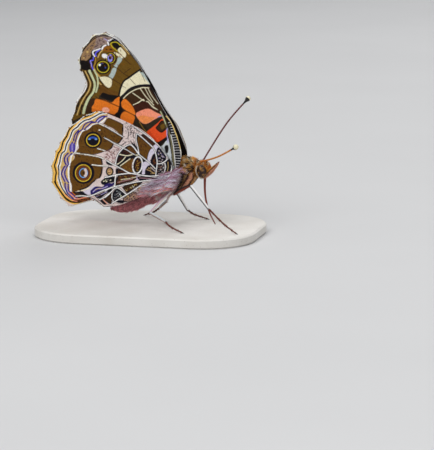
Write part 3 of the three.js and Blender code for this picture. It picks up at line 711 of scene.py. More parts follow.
# Markings of the hindwing's under side
HINDWING_UNDER = (
    Patch(
        Tint.OCHREPALE,
        "532,556 480,548 436.5,570.5 395,591.5 362,618.5 337,649.5 318.5,691 297.5,724 277,757 "
        "256,819.5 261,853 258.5,905.5 277.5,941.5 304,977.5 332.5,1001.5 368.5,1013.5 407,1008.5 "
        "440,992 430.5,984.5 392.5,987 359,959.5 344.5,910.5 344.5,867.5 349.5,824.5 368.5,795.5 "
        "368.5,767 378,724 384.5,711.5 395,682.5 416,651.5 457.5,624.5 494.5,616 519.5,608 536,587",
    ),
    Stroke(Tint.WHITISH, 17, HEM_INNER_LINE),
    Stroke(Tint.HONEY, 21, HEM_OUTER_LINE),
    *lines(Tint.INK, f"7.5 {HEM_OUTER_LINE}", f"6.75 {HEM_INNER_LINE}"),
    Stroke(
        Tint.WHITISH, 7.5,
        "527.5,593.5 511,608 488.5,618.5 465.5,623.5 451,635 434.5,649.5 416,653.5 403.5,670 393,691 "
        "387,711.5 389,728 380.5,731 378,748 373.5,762 356.5,781.5 352,807.5 344.5,834 342,862.5 "
        "344.5,891.5 349.5,910.5 354,934.5 355.5,956 373.5,970 392.5,984.5 416.5,988 435.5,984.5",
    ),
    Stroke(Tint.PINK, 4, "378,1001.5 407,994 435.5,984.5 464,982 488,996.5 517,1025 545.5,1027.5"),
    Patch(
        Tint.LILACPALE,
        "509,582 496.5,589.5 486.5,597.5 480,608 490.5,612 498.5,604 513,593.5 525.5,583",
    ),
    *lines(
        Tint.INDIGO,
        "6.75 521.5,580 509,583 496.5,589.5 486.5,597.5 480,608",
        "6.75 534,581 525.5,583 513,593.5 498.5,604 490.5,612",
        "6.75 469.5,611 455,608 436.5,614 424,622.5 416,635 413.5,645",
        "6.75 476,612 457.5,614 443,626.5 430.5,637 422,647.5",
        "6.75 393,651.5 380.5,666 372.5,678.5 370,691 368,703.5",
        "6.75 409.5,648.5 395,659.5 387,672 382.5,686.5 378.5,701 377,708.5",
        "6.75 363,710.5 353.5,724 349.5,736.5 349.5,749 350.5,743 352,758.5",
        "6.75 374.5,712.5 372.5,724 374.5,736.5 373.5,726.5 374.5,743 368.5,761",
    ),
    Patch(Tint.VIOLET, "355.5,716.5 350.5,733.5 350.5,752.5 359,757.5 368.5,757.5 372,736 371,719"),
    Stroke(Tint.LILAC, 4, "361.5,721.5 360,736 361.5,752.5"),
    *lines(
        Tint.INDIGO,
        "7.5 341,766 328,779 322,793.5 323.5,809 330,823",
        "7.5 360,768 347,776.5 338,788.5 338.5,803 342.5,822",
        "7.5 325,830.5 316,843.5 309,862.5 309,874.5 316,891.5 324,907",
        "7.5 338,827 330,841 324,858 325.5,877 332.5,896 342.5,911.5",
        "7.5 325.5,916.5 325.5,932 330,948.5 337.5,965.5 349.5,977.5 368.5,995.5",
        "7.5 341,921 341,939 345,956 355.5,965.5 368.5,977.5 385,992",
    ),
    *lines(
        Tint.LILAC,
        "3.5 349.5,771.5 334,788.5 331.5,805 336,822",
        "3.5 330,834 317,862.5 320.5,882 332.5,908",
        "3.5 332.5,922.5 335,944 344.5,963 359,975 375.5,992",
    ),
    *patches(
        Tint.BROWN,
        "534,594.5 546.5,589.5 576.5,602.5 614.5,624 611,678 575,649.5 540,630.5 517.5,618.5 "
        "527.5,608",
        "494.5,618.5 465.5,624.5 451,638 434.5,650.5 416,656 404.5,672 396,691 390.5,711.5 394,738.5 "
        "390,745.5 384,762.5 430.5,767 464,772 500,763 522.5,756 523,753.5 539.5,751 555.5,740.5 "
        "565,721 578.5,717.5 597,710.5 612.5,685 548.5,649 502.5,622.5",
        "366,771.5 373.5,781.5 368.5,798 354,812.5 349.5,834 347,867.5 350,903.5 358,925 360.5,958.5 "
        "383,957 416.5,946.5 440,933 459.5,915 476,899.5 500,889 511,867.5 513,834 512,815 507,795.5 "
        "497.5,789.5 464,782.5 407,774",
    ),
    Patch(
        Tint.UMBER,
        "360,959.5 387.5,960.5 409,958.5 416.5,968 433,980 411.5,987 392.5,984.5 373.5,972.5",
    ),
    *lines(
        Tint.INK,
        "6.25 614.5,623 611.5,678.5",
        "6.25 612.5,685 597,712 580,718",
        "6.25 566,721 556,740.5 540.5,751 524.5,754.5",
        "6.25 500,790.5 507.5,798 511.5,819.5",
        "6.25 511.5,834 506.5,865 498,888.5",
        "6.25 475,901 459.5,915 440,933 416.5,944 399.5,948.5",
        "3 522.5,756 488,768.5 464,772.5 428.5,767.5 390,763",
        "3 407,959.5 416.5,968 433,980.5 442.5,983.5",
        "3 534,594.5 527.5,608 517.5,618.5",
        "3 614.5,623 576.5,602.5 539.5,590",
    ),
    *net(
        Tint.WHITE, Tint.UMBER, 2.25,
        "4.5 493.5,617 519.5,629.5 544.5,643 548.5,647 613.5,684",
        "4.5 521,687.5 548.5,702 578.5,717.5 609,731",
        "4.5 487,743 507,748 525,754.5",
        "4.5 371,764 407,769.5 440,774 473.5,780 500,786 519,795.5",
        "4.5 459.5,824 485.5,827 514.5,829.5 540.5,830.5",
    ),
    Stroke(Tint.CREAM, 4, "387.5,956 407,952.5 428.5,946.5 447.5,940.5"),
    Flecks(Tint.OLIVE, 70, (5, 1.5), 60, UPPER_EYESPOT_FIELD),
    Flecks(Tint.UMBER, 60, (5, 1.5), 60, UPPER_EYESPOT_FIELD),
    Flecks(Tint.UMBER, 30, (5, 1.5), 60, FRONT_CELL),
    Flecks(Tint.OLIVE, 30, (5, 1.5), 60, FRONT_CELL),
    Flecks(Tint.UMBER, 70, (5, 1.5), 50, LOWER_EYESPOT_FIELD),
    Flecks(Tint.OLIVE, 60, (5, 1.5), 50, LOWER_EYESPOT_FIELD),
    *spots(Tint.INK, "465.5,700,44,41.5"),
    Spot(Tint.YELLOW, (465, 701), (32, 30), ring=4),
    *spots(Tint.INK, "465,701,27,24.5"),
    *spots(Tint.BLUE, "464,694,22,11"),
    *spots(Tint.INK, "463.5,701,17.5,8.5 417.5,864,54,55"),
    *spots(Tint.SKYBLUE, "447,696,6,3.5 480,696,6,3.5"),
    Spot(Tint.YELLOW, (416.5, 865.5), (39, 41.5), ring=3.75),
    *spots(Tint.RUSSET, "417,865.5,36,38.5"),
    *spots(Tint.UMBER, "417.5,865,27,28"),
    Spot(Tint.SKYBLUE, (417.5, 865), (20, 22), ring=4),
    *spots(Tint.PINKWHITE, "426.5,864,10,22.5"),
    *spots(Tint.BROWN, "414,864,11.5,15"),
    *spots(Tint.BLACK, "417,864.5,3.5,5"),
    *spots(Tint.WHITE, "497.5,650.5,4.5,3.5"),
    *spots(Tint.BLACK, "496,657.5,3.5,3"),
    Patch(Tint.UMBER, "522.5,924 541,918.5 564.5,937 525,953", Tint.INK, 4.5),
    Patch(
        Tint.INK,
        "586.5,826 588,778 611,742 642.5,724.5 672.5,722.5 695,760 720,783.5 774.5,832.5 781.5,878 "
        "720,873.5 647.5,869 592.5,832.5",
        Tint.INK, 4.5,
    ),
    Patch(
        Tint.INK,
        "680,669 720,692 749.5,723.5 763,742 743.5,778 733.5,805.5 702,779 693.5,760 684.5,710",
        Tint.INK, 4.5,
    ),
    Flecks(
        Tint.UMBER, 75, (2.5, 1.1), 70,
        "622.5,619 656.5,605.5 702,646.5 713,662.5 679,669 674.5,710 683.5,751 656.5,723.5 "
        "617.5,732.5 611,710 617.5,669",
    ),
    Flecks(
        Tint.UMBER, 40, (3.75, 1), 100,
        "629,601 670,610 702,651 677,673.5 670,710 647.5,719 624.5,696.5",
    ),
    Flecks(
        Tint.MAUVEDARK, 60, (4, 1.1), 40,
        "524.5,755.5 565.5,742 606.5,728 602,755.5 583.5,796.5 579,832.5 533.5,796.5 520,787.5",
    ),
    Flecks(
        Tint.RUSSET, 30, (2.5, 1.25), 20,
        "524.5,755.5 565.5,742 602,732.5 588,778 579,823.5 533.5,796.5 520,787.5",
    ),
    Patch(
        Tint.BROWN,
        "687.5,679 697,683.5 726,707.5 761,738.5 750,750 740,773.5 734,795.5 710,778.5 695.5,764 "
        "694.5,752 689,725.5 685.5,701.5",
        Tint.INK, 4.5,
    ),
    Patch(
        Tint.DARKBROWN,
        "707.5,675.5 716,672.5 736.5,687.5 768.5,713.5 773.5,721 763,727.5 747.5,715.5 726,697",
        Tint.INK, 4,
    ),
    Patch(
        Tint.INK,
        "785.5,744 800,735.5 813.5,752 824.5,770 829.5,784 822,807.5 805.5,816 789.5,816 785.5,794.5 "
        "782,768",
        Tint.INK, 4.5,
    ),
    *spots(
        Tint.PINKWHITE,
        "795,754.5,3,2,30 803.5,766,3,2,30 808,780,3,2,30 799.5,790.5,3,2,30 811.5,798.5,3,2,30 "
        "795,805.5,3,2,30 806,807.5,3,2,30 793,773,3,2,30 816,784,3,2,30",
    ),
    Patch(
        Tint.INK,
        "772.5,769 779.5,784 783.5,810 779.5,834 771,832 758.5,818.5 751,807.5 758,794.5 763,779",
        Tint.INK, 4.5,
    ),
    Patch(Tint.DARKBROWN, "770,784 776,797 776.5,815.5 768.5,818 763,807.5", Tint.INK, 4.5),
    Patch(
        Tint.INK,
        "736.5,834.5 750,825.5 763.5,836.5 777.5,850 778.5,869 763,876 736.5,873 726,867.5 724,853",
        Tint.INK, 4.5,
    ),
    Stroke(Tint.TAN, 3, "734,848 752.5,855.5 771,868"),
    Stroke(Tint.PINKWHITE, 3, "753,835.5 764.5,846.5 775,855.5"),
    Patch(Tint.INK, "786,823.5 817,821 819.5,840 814,860.5 801,872.5 788,870.5", Tint.INK, 4.5),
    Flecks(Tint.TAUPE, 26, (1.75, 1.25), 30, "788.5,827 815,824.5 817,840 811,858 801,869.5 789.5,868"),
    Patch(
        Tint.INK,
        "829.5,812 842,797 851,814.5 852.5,835 848,856.5 834,877 818.5,879 828.5,858 830.5,835",
        Tint.INK, 4.5,
    ),
    Stroke(Tint.OCHREPALE, 2.25, "839.5,809.5 841,835 836.5,856.5"),
    Patch(
        Tint.BROWN,
        "665,789 673.5,799.5 665,821 662.5,842.5 666.5,861 649.5,862.5 625.5,853 604,834.5 623,815.5 "
        "641.5,797.5",
        Tint.INK, 5,
    ),
    *spots(Tint.WHITISH, "687.5,825.5,26.5,44.5,8"),
    *spots(Tint.INK, "687.5,825.5,20.5,38.5,8"),
    *spots(Tint.DARKBROWN, "687,823.5,12,28,8"),
    *spots(
        Tint.OCHRE,
        "686.5,805,2.5,2.5 690.5,815.5,2.5,2.5 684,828.5,2.5,2.5 689,839.5,2.5,2.5 685.5,850,2.5,2.5 "
        "691.5,826,2.5,2.5",
    ),
    Patch(
        Tint.BROWN,
        "631,739.5 644,731 658,731.5 673.5,747 684.5,763 678.5,770 665,768 644,752.5",
        Tint.INK, 5.5,
    ),
    Patch(
        Tint.INK,
        "612.5,744.5 623.5,747 641.5,755 663,768.5 657.5,773.5 631,773.5 604.5,769 601,762.5",
        Tint.INK, 4.5,
    ),
    Stroke(Tint.BROWN, 3.5, "623,754.5 639,762.5 652,769"),
    Patch(
        Tint.INK,
        "601.5,777.5 626,781 623,789.5 604.5,807.5 588.5,821.5 583.5,810 588.5,792",
        Tint.INK, 4.5,
    ),
    Patch(Tint.DARKBROWN, "599,786.5 612.5,787 601.5,802.5 591,807.5", Tint.INK, 4.5),
    *lines(Tint.CREAM, "4.5 627,785 607.5,807.5 588,820.5", "4.5 649.5,794.5 623,813.5 601.5,829.5"),
    *lines(
        Tint.INK,
        "4.5 673,781 639,789.5 612.5,807.5 594.5,823",
        "4 604.5,728.5 631,709.5",
        "3.5 652,704.5 662.5,715.5 673,731 681,744",
    ),
    Patch(Tint.INK, "582,842.5 604.5,848 639.5,864.5 612.5,869 591,871.5 580,863", Tint.INK, 4.5),
    Patch(Tint.DARKBROWN, "588.5,850 604.5,853 623,862 604.5,864.5 588.5,864.5", Tint.INK, 4.5),
    Stroke(Tint.CREAM, 4.5, "598.5,772 625.5,777.5 644,777.5 665,772 684,775.5 695.5,773"),
    *lines(
        Tint.INK,
        "3.5 658.5,712.5 673,736 684,754.5",
        "3.5 668,710 679,731 684.5,747",
        "3.5 668,664.5 665,680.5 673,691",
        "3.5 639,651.5 642.5,667.5 639,691",
        "3.5 649.5,643.5 657.5,659.5 649.5,675.5",
    ),
    *spots(
        Tint.INK,
        "639,646,3,2.5 642,678,3,2.5 652.5,662,3,2.5 657.5,641.5,3,2.5 639.5,691.5,3,2.5 "
        "666,678,3,2.5 671,664.5,3,2.5 673,641,3,2.5 684,654,3,2.5 694.5,659.5,3,2.5 "
        "662.5,651.5,3,2.5 570,731,3,2.5 588.5,725.5,3,2.5 572.5,756,3,2.5 582,749.5,3,2.5 "
        "564.5,769,3,2.5 631,692.5,3,2.5",
    ),
    *lines(
        Tint.MAUVEDARK,
        "3.5 551.5,773 564.5,784 562,797",
        "3.5 535.5,773 549,784 541,794.5",
        "3.5 570,736 588.5,741.5 591,749.5",
        "3.5 559.5,789 575.5,794.5 578,807.5",
        "3.5 530.5,752 551.5,762.5 559.5,773",
    ),
    Patch(Tint.INK, "532.5,807.5 559.5,821.5 557.5,826.5 535.5,818.5", Tint.INK, 4.5),
    *spots(Tint.INK, "548.5,857.5,19.5,23"),
    *spots(Tint.TAN, "548.5,857.5,12,15.5"),
    *spots(Tint.UMBER, "546,850,3.5,2.5 551.5,860.5,3.5,2.5 543.5,863,3.5,2.5 554,850,3.5,2.5"),
    *spots(Tint.PINK, "549.5,855,3.5,3"),
    Patch(
        Tint.INK,
        "525,892.5 541,889.5 564.5,887 570.5,890 557,903.5 541,911.5 525,908.5",
        Tint.INK, 4.5,
    ),
    Stroke(Tint.CREAM, 3, "527.5,903 543.5,899 559.5,892.5"),
    Patch(
        Tint.VIOLETINK,
        "525,924.5 538,919 554.5,918.5 562.5,929.5 541,938 525,943",
        Tint.VIOLETINK, 4.5,
    ),
    Stroke(Tint.LILAC, 4.5, "527.5,933.5 543.5,929.5 554,926.5"),
    Patch(
        Tint.DARKBROWN,
        "591,879.5 631,871.5 678.5,869 684.5,879.5 681,893 657.5,906 620.5,915 578,925.5 580.5,903 "
        "586,887.5",
        Tint.INK, 4.5,
    ),
    Stroke(Tint.CREAM, 3.5, "604.5,898 644,893 681,885"),
    Stroke(Tint.MAUVE, 3, "588.5,912 625.5,903 662.5,895"),
    Stroke(Tint.INK, 4, "604.5,887 636,880.5 673,876.5"),
    Patch(
        Tint.INK,
        "689.5,886 715.5,882 752.5,887 779.5,893 763,898 726,900.5 694.5,899",
        Tint.INK, 4.5,
    ),
    Stroke(Tint.MAUVE, 3, "697,889.5 726,891 758,892.5"),
    Patch(Tint.INK, "779.5,889.5 790,883 806,893 800.5,902 784.5,898", Tint.INK, 4.5),
    Patch(
        Tint.UMBER,
        "612.5,937 636,924 662.5,916 695,913.5 710,911.5 694.5,924.5 673,938 652,953.5 636,964 "
        "625.5,953.5",
        Tint.INK, 4.5,
    ),
    *spots(Tint.OCHREPALE, "657.5,940,3,2,-30"),
    *spots(Tint.PALEGREEN, "662.5,929.5,3,2,-30 652,938,3,2,-30"),
    *spots(Tint.OCHREPALE, "673.5,924,3,2,-30"),
    *spots(Tint.WHITISH, "668,934.5,3,2,-30"),
    *spots(Tint.RUSSET, "646.5,945,3,2,-30"),
    Patch(
        Tint.INK,
        "567.5,961 578,948.5 594,948 613,961.5 623.5,975 604.5,988 586,998.5 570,1001.5 564.5,982.5",
        Tint.INK, 4.5,
    ),
    *spots(Tint.GREYDARK, "586,969,4,3,-30 580.5,987.5,4,3,-30"),
    *spots(Tint.ASHEN, "599,971.5,4,3,-30"),
    *spots(Tint.PALEGREEN, "604.5,979.5,4,3,-30"),
    *spots(Tint.GREYDARK, "591,982,4,3,-30"),
    Patch(
        Tint.UMBER,
        "533,988 554.5,966.5 560,977.5 559.5,1001.5 549,1017 533,1006.5 527,996",
        Tint.INK, 4.5,
    ),
    Patch(
        Tint.TAN,
        "689.5,940.5 710,926.5 734,923 750,924.5 748,943 737,961.5 721,972 700,967 689.5,953",
        Tint.INK, 5.5,
    ),
    *spots(Tint.UMBER, "707.5,950.5,4.5,3.5"),
    *spots(Tint.PINK, "721,940,4.5,3.5"),
    *spots(Tint.UMBER, "731.5,950.5,4.5,3.5 715.5,961,4.5,3.5"),
    *spots(Tint.DARKBROWN, "710,937,4.5,3.5"),
    *spots(Tint.CREAM, "726,958.5,4.5,3.5"),
    Patch(
        Tint.TAUPE,
        "615,993.5 644,975 673,959 687,969.5 710,980 726.5,982.5 710,996 678.5,1006.5 636,1009 "
        "620.5,1006.5",
        Tint.INK, 4.5,
    ),
    *spots(
        Tint.INK,
        "631,995.5,4,2.5,-25 639,987.5,4,2.5,-25 649.5,982,4,2.5,-25 660,974.5,4,2.5,-25 "
        "673,966.5,4,2.5,-25 681,974.5,4,2.5,-25 668,982,4,2.5,-25 657.5,993,4,2.5,-25 "
        "673,993,4,2.5,-25 689,985,4,2.5,-25 697,993,4,2.5,-25 710,986,4,2.5,-25 681,998,4,2.5,-25 "
        "646.5,1000.5,4,2.5,-25 662.5,1003.5,4,2.5,-25",
    ),
    Patch(Tint.INK, "580.5,1009 604.5,1001.5 623.5,1009 604.5,1014.5", Tint.INK, 4.5),
    Flecks(Tint.RUSSET, 30, (3.5, 1.25), 70, WEB_FRONT_CELL),
    Flecks(Tint.UMBER, 30, (4.5, 1.1), 60, WEB_FRONT_CELL),
    Flecks(Tint.RUSSET, 22, (2.5, 1.1), 40, WEB_MIDDLE_CELL),
    Flecks(Tint.OCHRE, 10, (1.5, 1), 40, WEB_MIDDLE_CELL),
    Flecks(Tint.CHESTNUT, 22, (2.5, 1.25), 40, "636,741.5 652,733.5 673,752 673,765 652,754.5"),
    Flecks(Tint.CHESTNUT, 26, (3, 1.25), 50, "609.5,749.5 639,757.5 652,770.5 612.5,768"),
    Flecks(
        Tint.CHESTNUT, 26, (2.5, 1.25), 50,
        "588.5,794.5 601.5,781 620.5,784 601.5,807.5 588.5,815.5",
    ),
    Flecks(Tint.LILAC, 16, (1.5, 1), 40, "787,752 800,739 816,757.5 824,784 816,807.5 792.5,810"),
    Flecks(Tint.RUSSET, 14, (2.5, 1), 70, "771,778.5 780.5,805 776.5,826 760.5,815.5 758,799.5"),
    Flecks(Tint.WHITISH, 14, (1.75, 1), 60, WEB_ROOT_CELL),
    Flecks(Tint.INK, 16, (2, 1.1), 60, WEB_ROOT_CELL),
    Flecks(Tint.OCHREPALE, 12, (2.5, 0.75), 35, "736.5,842 758,834 773.5,852.5 773.5,868.5 744.5,866"),
    Flecks(Tint.OCHRE, 14, (1.75, 1.1), 0, "673,794.5 697,789 702.5,826 694.5,858 678.5,858 673,826"),
    Flecks(Tint.RUSSET, 20, (4, 1), -12, WEB_REAR_CELL),
    Flecks(Tint.OCHRE, 12, (2.5, 0.9), -12, WEB_REAR_CELL),
    Flecks(Tint.OCHREPALE, 14, (1.75, 1), -30, "620.5,940 662.5,921.5 699.5,916 673,934.5 639,958.5"),
    Flecks(Tint.ASHEN, 20, (1.5, 1), 0, "572.5,966.5 588.5,953 609.5,966.5 615,977 588.5,993 570,993"),
    Flecks(Tint.UMBER, 20, (2, 1.5), 0, WEB_LOWER_CELL),
    Flecks(Tint.CREAM, 8, (1.75, 1.25), 0, WEB_LOWER_CELL),
    Flecks(Tint.INK, 70, (2.1, 1.2), -20, INNER_EDGE_FIELD),
    Flecks(Tint.OCHREPALE, 30, (1.75, 1), -20, INNER_EDGE_FIELD),
    Flecks(Tint.RUSSET, 14, (2.5, 1), -20, "586,844.5 604.5,850 631,863 591,868.5"),
    Patch(
        Tint.MAUVE,
        "750,930 790,905 840,890 860,850 890,840 930,880 930,960 860,985 790,1000 745,1000 730,970",
    ),
    # Painted reflection: the rose band along the lower edge of the hindwing's base, under the body, stands
    # for pink light from below.
    Patch(Tint.ROSE, "730,980 790,965 860,950 930,940 930,1000 730,1020"),
    Flecks(Tint.MAUVEDARK, 60, (7.5, 0.8), -14, "780,910 850,880 900,850 920,950 850,980 760,980"),
    Flecks(Tint.TAUPEDARK, 26, (7, 0.9), -10, "790,890 850,875 890,860 890,920 810,920"),
    Flecks(Tint.PINKWHITE, 50, (7, 0.8), -16, "750,920 840,900 910,880 920,960 840,990 750,995"),
    *patches(
        Tint.ASHLILAC,
        "779,721 797.5,731 784.5,744 780.5,762.5 763,773 750,797 753,811 742,810 737,802.5 740.5,776 "
        "750,752 763,739",
        "742,811.5 750,823.5 736.5,831.5 725,852.5 723.5,870 710,871 711.5,852.5 710,821 726,807.5",
        "418.5,956.5 441,945.5 463,932 477,925 472,936.5 456.5,954.5 454,968 441,977 425,970.5 "
        "414,963.5",
    ),
    Stroke(Tint.LILAC, 3, "684,879 684,892.5 694.5,900"),
    Patch(
        Tint.INK,
        "505.5,909.5 519,896.5 536.5,889.5 565.5,885 588,892 574.5,907.5 548,912 521,921.5 510,919",
        Tint.INK, 4.5,
    ),
    *spots(Tint.CREAM, "519,906.5,4,2.5,-20"),
    *spots(Tint.PALEGREEN, "528,901,4,2.5,-20"),
    *spots(Tint.GREYDARK, "539,898.5,4,2.5,-20"),
    *spots(Tint.CREAM, "532.5,907.5,4,2.5,-20 552.5,901,4,2.5,-20"),
    Patch(
        Tint.VIOLETINK,
        "454,954.5 474.5,936.5 490,934 507.5,936.5 525.5,930 552.5,921 574.5,914 557,930 530,941.5 "
        "503.5,955 474.5,966 456.5,970.5",
        Tint.VIOLETINK, 4.5,
    ),
    Stroke(Tint.LILAC, 4.5, "465.5,959 481,945.5 496.5,943 514.5,941 536.5,932"),
    Stroke(Tint.OCHREPALE, 2.5, "476.5,950 496.5,941 507.5,943"),
    Patch(
        Tint.INK,
        "467.5,977 487.5,974.5 519,961 552.5,947.5 557,952 530,967.5 503.5,988 485.5,988.5",
        Tint.INK, 4.5,
    ),
    Stroke(Tint.LILAC, 3, "483,981.5 507.5,972 534.5,959"),
    Stroke(Tint.BROWN, 3, "485.5,979 503.5,974.5"),
    Patch(Tint.UMBER, "519,997 536.5,979 555,965.5 557.5,1012.5 550,1017.5 534.5,1006", Tint.INK, 4),
    Patch(Tint.INK, "501,1006 517,999 535,1017.5 530,1024 516.5,1021.5", Tint.INK, 4.5),
    Stroke(Tint.PINK, 4, "514.5,997 528,1010.5 539.5,1021.5"),
    Stroke(Tint.INK, 4.5, "441,988 458.5,990 474.5,999.5 496.5,1017.5 519,1033 561.5,1030.5"),
    Patch(
        Tint.UMBER,
        "356,961 383,963.5 410,959 423.5,968 437,979.5 414,986 391.5,988.5 374,977",
        Tint.INK, 4.5,
    ),
    Patch(Tint.INK, "383,961.5 410,958.5 423.5,968 436.5,979 418.5,976.5 403,967.5", Tint.INK, 4.5),
    Patch(Tint.RUSSET, "365,996.5 396,994.5 418.5,990 441,988 459,997 436.5,1006 405,1012.5 374,1012.5"),
    *spots(
        Tint.INK,
        "396,1001,5,2.5,-10 409.5,998,5,2.5,-10 423,996.5,5,2.5,-10 434,999,5,2.5,-10 "
        "447.5,994.5,5,2.5,-10 383,1005.5,5,2.5,-10",
    ),
    Stroke(Tint.BLACK, 8.5, "273.5,907.5 284.5,930 302.5,956.5 318,979 336,999 362.5,1010 405,1010.5"),
    *lines(
        Tint.SALMON,
        "4 325,972.5 347,990.5 369.5,1004 385,1006",
        "4.5 345,963.5 365,981.5 385,995 409.5,990.5 441,984 465.5,977",
    ),
    Stroke(Tint.ORANGE, 3.5, "359.5,960 374,975 387.5,986"),
    *net(
        Tint.PINKWHITE, Tint.UMBER, 2,
        "5 684,945 686.5,963.5 699.5,972 721,980 736.5,966.5 750,942.5 755,921.5",
        "7.5 519.5,1028.5 557,1024.5 617.5,1022 657.5,1016.5 697,1006 723.5,995.5 742,979.5 753,953",
        "5 465.5,975 483,995 503.5,1013 521,1026 561.5,1024",
    ),
    *net(
        Tint.WHITISH, Tint.INK, 2.5,
        "4.4 577.5,821 582,794.5 591,770.5 604.5,752.5 618,739 636,727.5 652.5,724 668,736 "
        "689.5,762.5",
        "3.2 617.5,741.5 639,752.5 657.5,765 673,773",
        "3.6 682.5,672.5 681,701.5 687,725.5 691.5,749.5 694.5,768",
        "4 525,631 557,649 586,667 612.5,683.5",
        "4 525,691 546,701.5 572.5,717.5 599,731 617.5,741.5",
        "4.4 533,802.5 554,815.5 578,828.5 609.5,845 646.5,864.5 678.5,871 710,876.5 744.5,880.5 "
        "785.5,879",
        "4.4 660,625 684,641 710,659.5 742,683 776.5,712.5 805.5,739 826.5,768 848,797 859,821 "
        "856.5,850 845.5,876.5 832,891 811,884.5 789.5,877",
        "4 684,668.5 694.5,674 726,701.5 760.5,733.5 773,752 779.5,773 785.5,805 784.5,831.5 "
        "780.5,858 779,879",
        "4 657.5,724 673,741.5 691.5,768 715.5,789 744.5,811.5 776.5,843.5",
        "4 785.5,819.5 805.5,817 824,807.5 838,794.5",
        "3.2 823.5,815.5 828,834 824,852.5 813.5,876.5",
        "4.8 525,887 546,883 578,875 612.5,870 646.5,867 678.5,870",
        "4.8 579,876.5 575.5,900 574,924 571.5,934.5",
        "4.4 525,956 551.5,940 591,929.5 631,921.5 670.5,912 710,905.5 750,901.5 779,901.5 812,911",
        "4 525,987.5 541,974.5 564.5,950.5 578,940 594.5,942.5 612.5,956 631.5,972",
        "4.4 559.5,1017 594,995.5 631,974.5 673,948 705,926.5 736.5,917.5 763,917.5 776.5,918.5",
        "3.2 560.5,966.5 559.5,990 567.5,1006",
        "4.8 378.5,981 409.5,979 441,981.5 465.5,975 485.5,965.5 516.5,952 560,936.5",
        "4 496.5,999 519,988 539,972 560,956.5",
    ),
)

# Markings of the forewing's upper side
FOREWING_UPPER = (
    *patches(
        Tint.BLACK,
        "300,100 750,100 750,475 650,475 590,440 525,460 460,420 300,420",
        "640,480 710,460 750,500 700,560 650,540",
    ),
    Patch(Tint.WHITE, "600,340 640,310 670,350 630,410 605,400"),
    *spots(Tint.WHITE, "560,240,15,10,40 530,280,11,9 505,330,12,10"),
    Patch(Tint.UMBER, "750,400 1000,400 1025,900 800,900 860,750 880,650 800,540"),
    Stroke(Tint.BLACK, 110, "520,165 610,205 705,325 755,405 815,525 870,615 900,700 915,800"),
    Stroke(
        Tint.WHITISH, 4,
        "535,166.5 607,215 648.5,265 702.5,340 752,415 809.5,535 863.5,628 904,755 909,794",
    ),
)

# Markings of the hindwing's upper side
HINDWING_UPPER = (
    Stroke(Tint.BLACK, 20, "500,570 400,610 330,710 290,800 290,900 330,980 390,1005"),
    *spots(Tint.BLACK, "465,705,22.5,21 415,865,27.5,26.5"),
    *spots(Tint.BLUE, "465,705,11,10 415,865,14,13"),
    Patch(Tint.UMBER, "600,750 890,750 900,950 650,1000 550,980 560,880"),
)

# Markings of the head and the front of the thorax
BODY_MARKS = (
    # Painted light: the thorax flank, in the recess between the hindwing and the thorax, is laid pale pinkish
    # white to lift the shade there. The rose flecks on its lower part are a painted reflection of pink light
    # from below.
    Patch(Tint.PINKWHITE, THORAX_FLANK),
    Flecks(Tint.MAUVE, 60, (12, 2.5), -28, THORAX_FLANK),
    Flecks(Tint.MAUVEDARK, 26, (11, 1.75), -28, THORAX_FLANK),
    Flecks(Tint.ROSE, 30, (11, 3), -28, "855,920 905,910 885,965 840,995 790,1005 790,960"),
    Patch(
        Tint.GOLD,
        "926,781.5 961.5,773.5 974.5,791.5 984.5,809.5 979.5,827 969.5,845 928.5,845 903,855.5 "
        "903,779",
    ),
    Flecks(Tint.UMBER, 26, (8, 2.5), 70, "933.5,784 961.5,784 979.5,809.5 969.5,835 933.5,835"),
    Flecks(Tint.CREAM, 16, (7, 1.75), 70, "928.5,784 961.5,779 979.5,809.5 969.5,835 933.5,835"),
    Patch(Tint.UMBER, "939,814.5 954,809.5 969.5,827 979.5,840 979.5,865.5 964.5,868 954,860.5 944,850"),
    Flecks(Tint.GOLD, 12, (6, 2), 80, "944,819.5 969.5,827 979.5,865.5 954,860.5"),
    Stroke(Tint.REDBROWN, 9, "913.5,784 916,814.5 910.5,855.5"),
    Stroke(Tint.GOLD, 6.5, "916,809.5 926,832.5 939,850 944,863"),
    Stroke(Tint.PINKWHITE, 4.5, "937.5,819.5 940,837.5 945,855.5"),
    Patch(
        Tint.CHESTNUT,
        "908,860.5 944,858 956.5,868 944,891 923.5,919 893,962.5 882.5,965 903,921.5 913.5,891",
    ),
    Stroke(Tint.INK, 8, "913.5,860.5 915.5,891 903,919 885,965"),
    Stroke(Tint.TAN, 6.5, "939,868 926,893.5 913.5,921.5 900.5,944.5"),
    Stroke(Tint.MAUVEDARK, 6, "944,878.5 928.5,906.5 913.5,932"),
    Stroke(Tint.FLESH, 10, "956.5,870.5 958,886 946.5,904 928.5,924 905.5,947"),
    Patch(Tint.FUR, "967,845 987,870.5 990,891 984.5,921.5 961.5,911.5 967,875.5"),
    Flecks(Tint.CREAM, 22, (6.5, 2), 70, "967,865.5 987,875.5 987,919 967,909"),
    Flecks(Tint.GOLD, 16, (6.5, 2), 70, "967,845 987,875.5 987,919 967,909"),
    Patch(
        Tint.FUR,
        "987,791.5 1030.5,791.5 1056,809.5 1056,845 1033,865.5 1025.5,835 1000,819.5 984.5,830 "
        "974.5,845 974.5,819.5",
    ),
    Flecks(Tint.UMBER, 30, (5.5, 2), 85, HEAD_FIELD),
    Flecks(Tint.CREAM, 20, (5.5, 1.5), 75, HEAD_FIELD),
    Flecks(Tint.ORANGE, 14, (5.5, 1.75), 75, "1030.5,807 1056,814.5 1053.5,845 1035.5,860.5"),
)


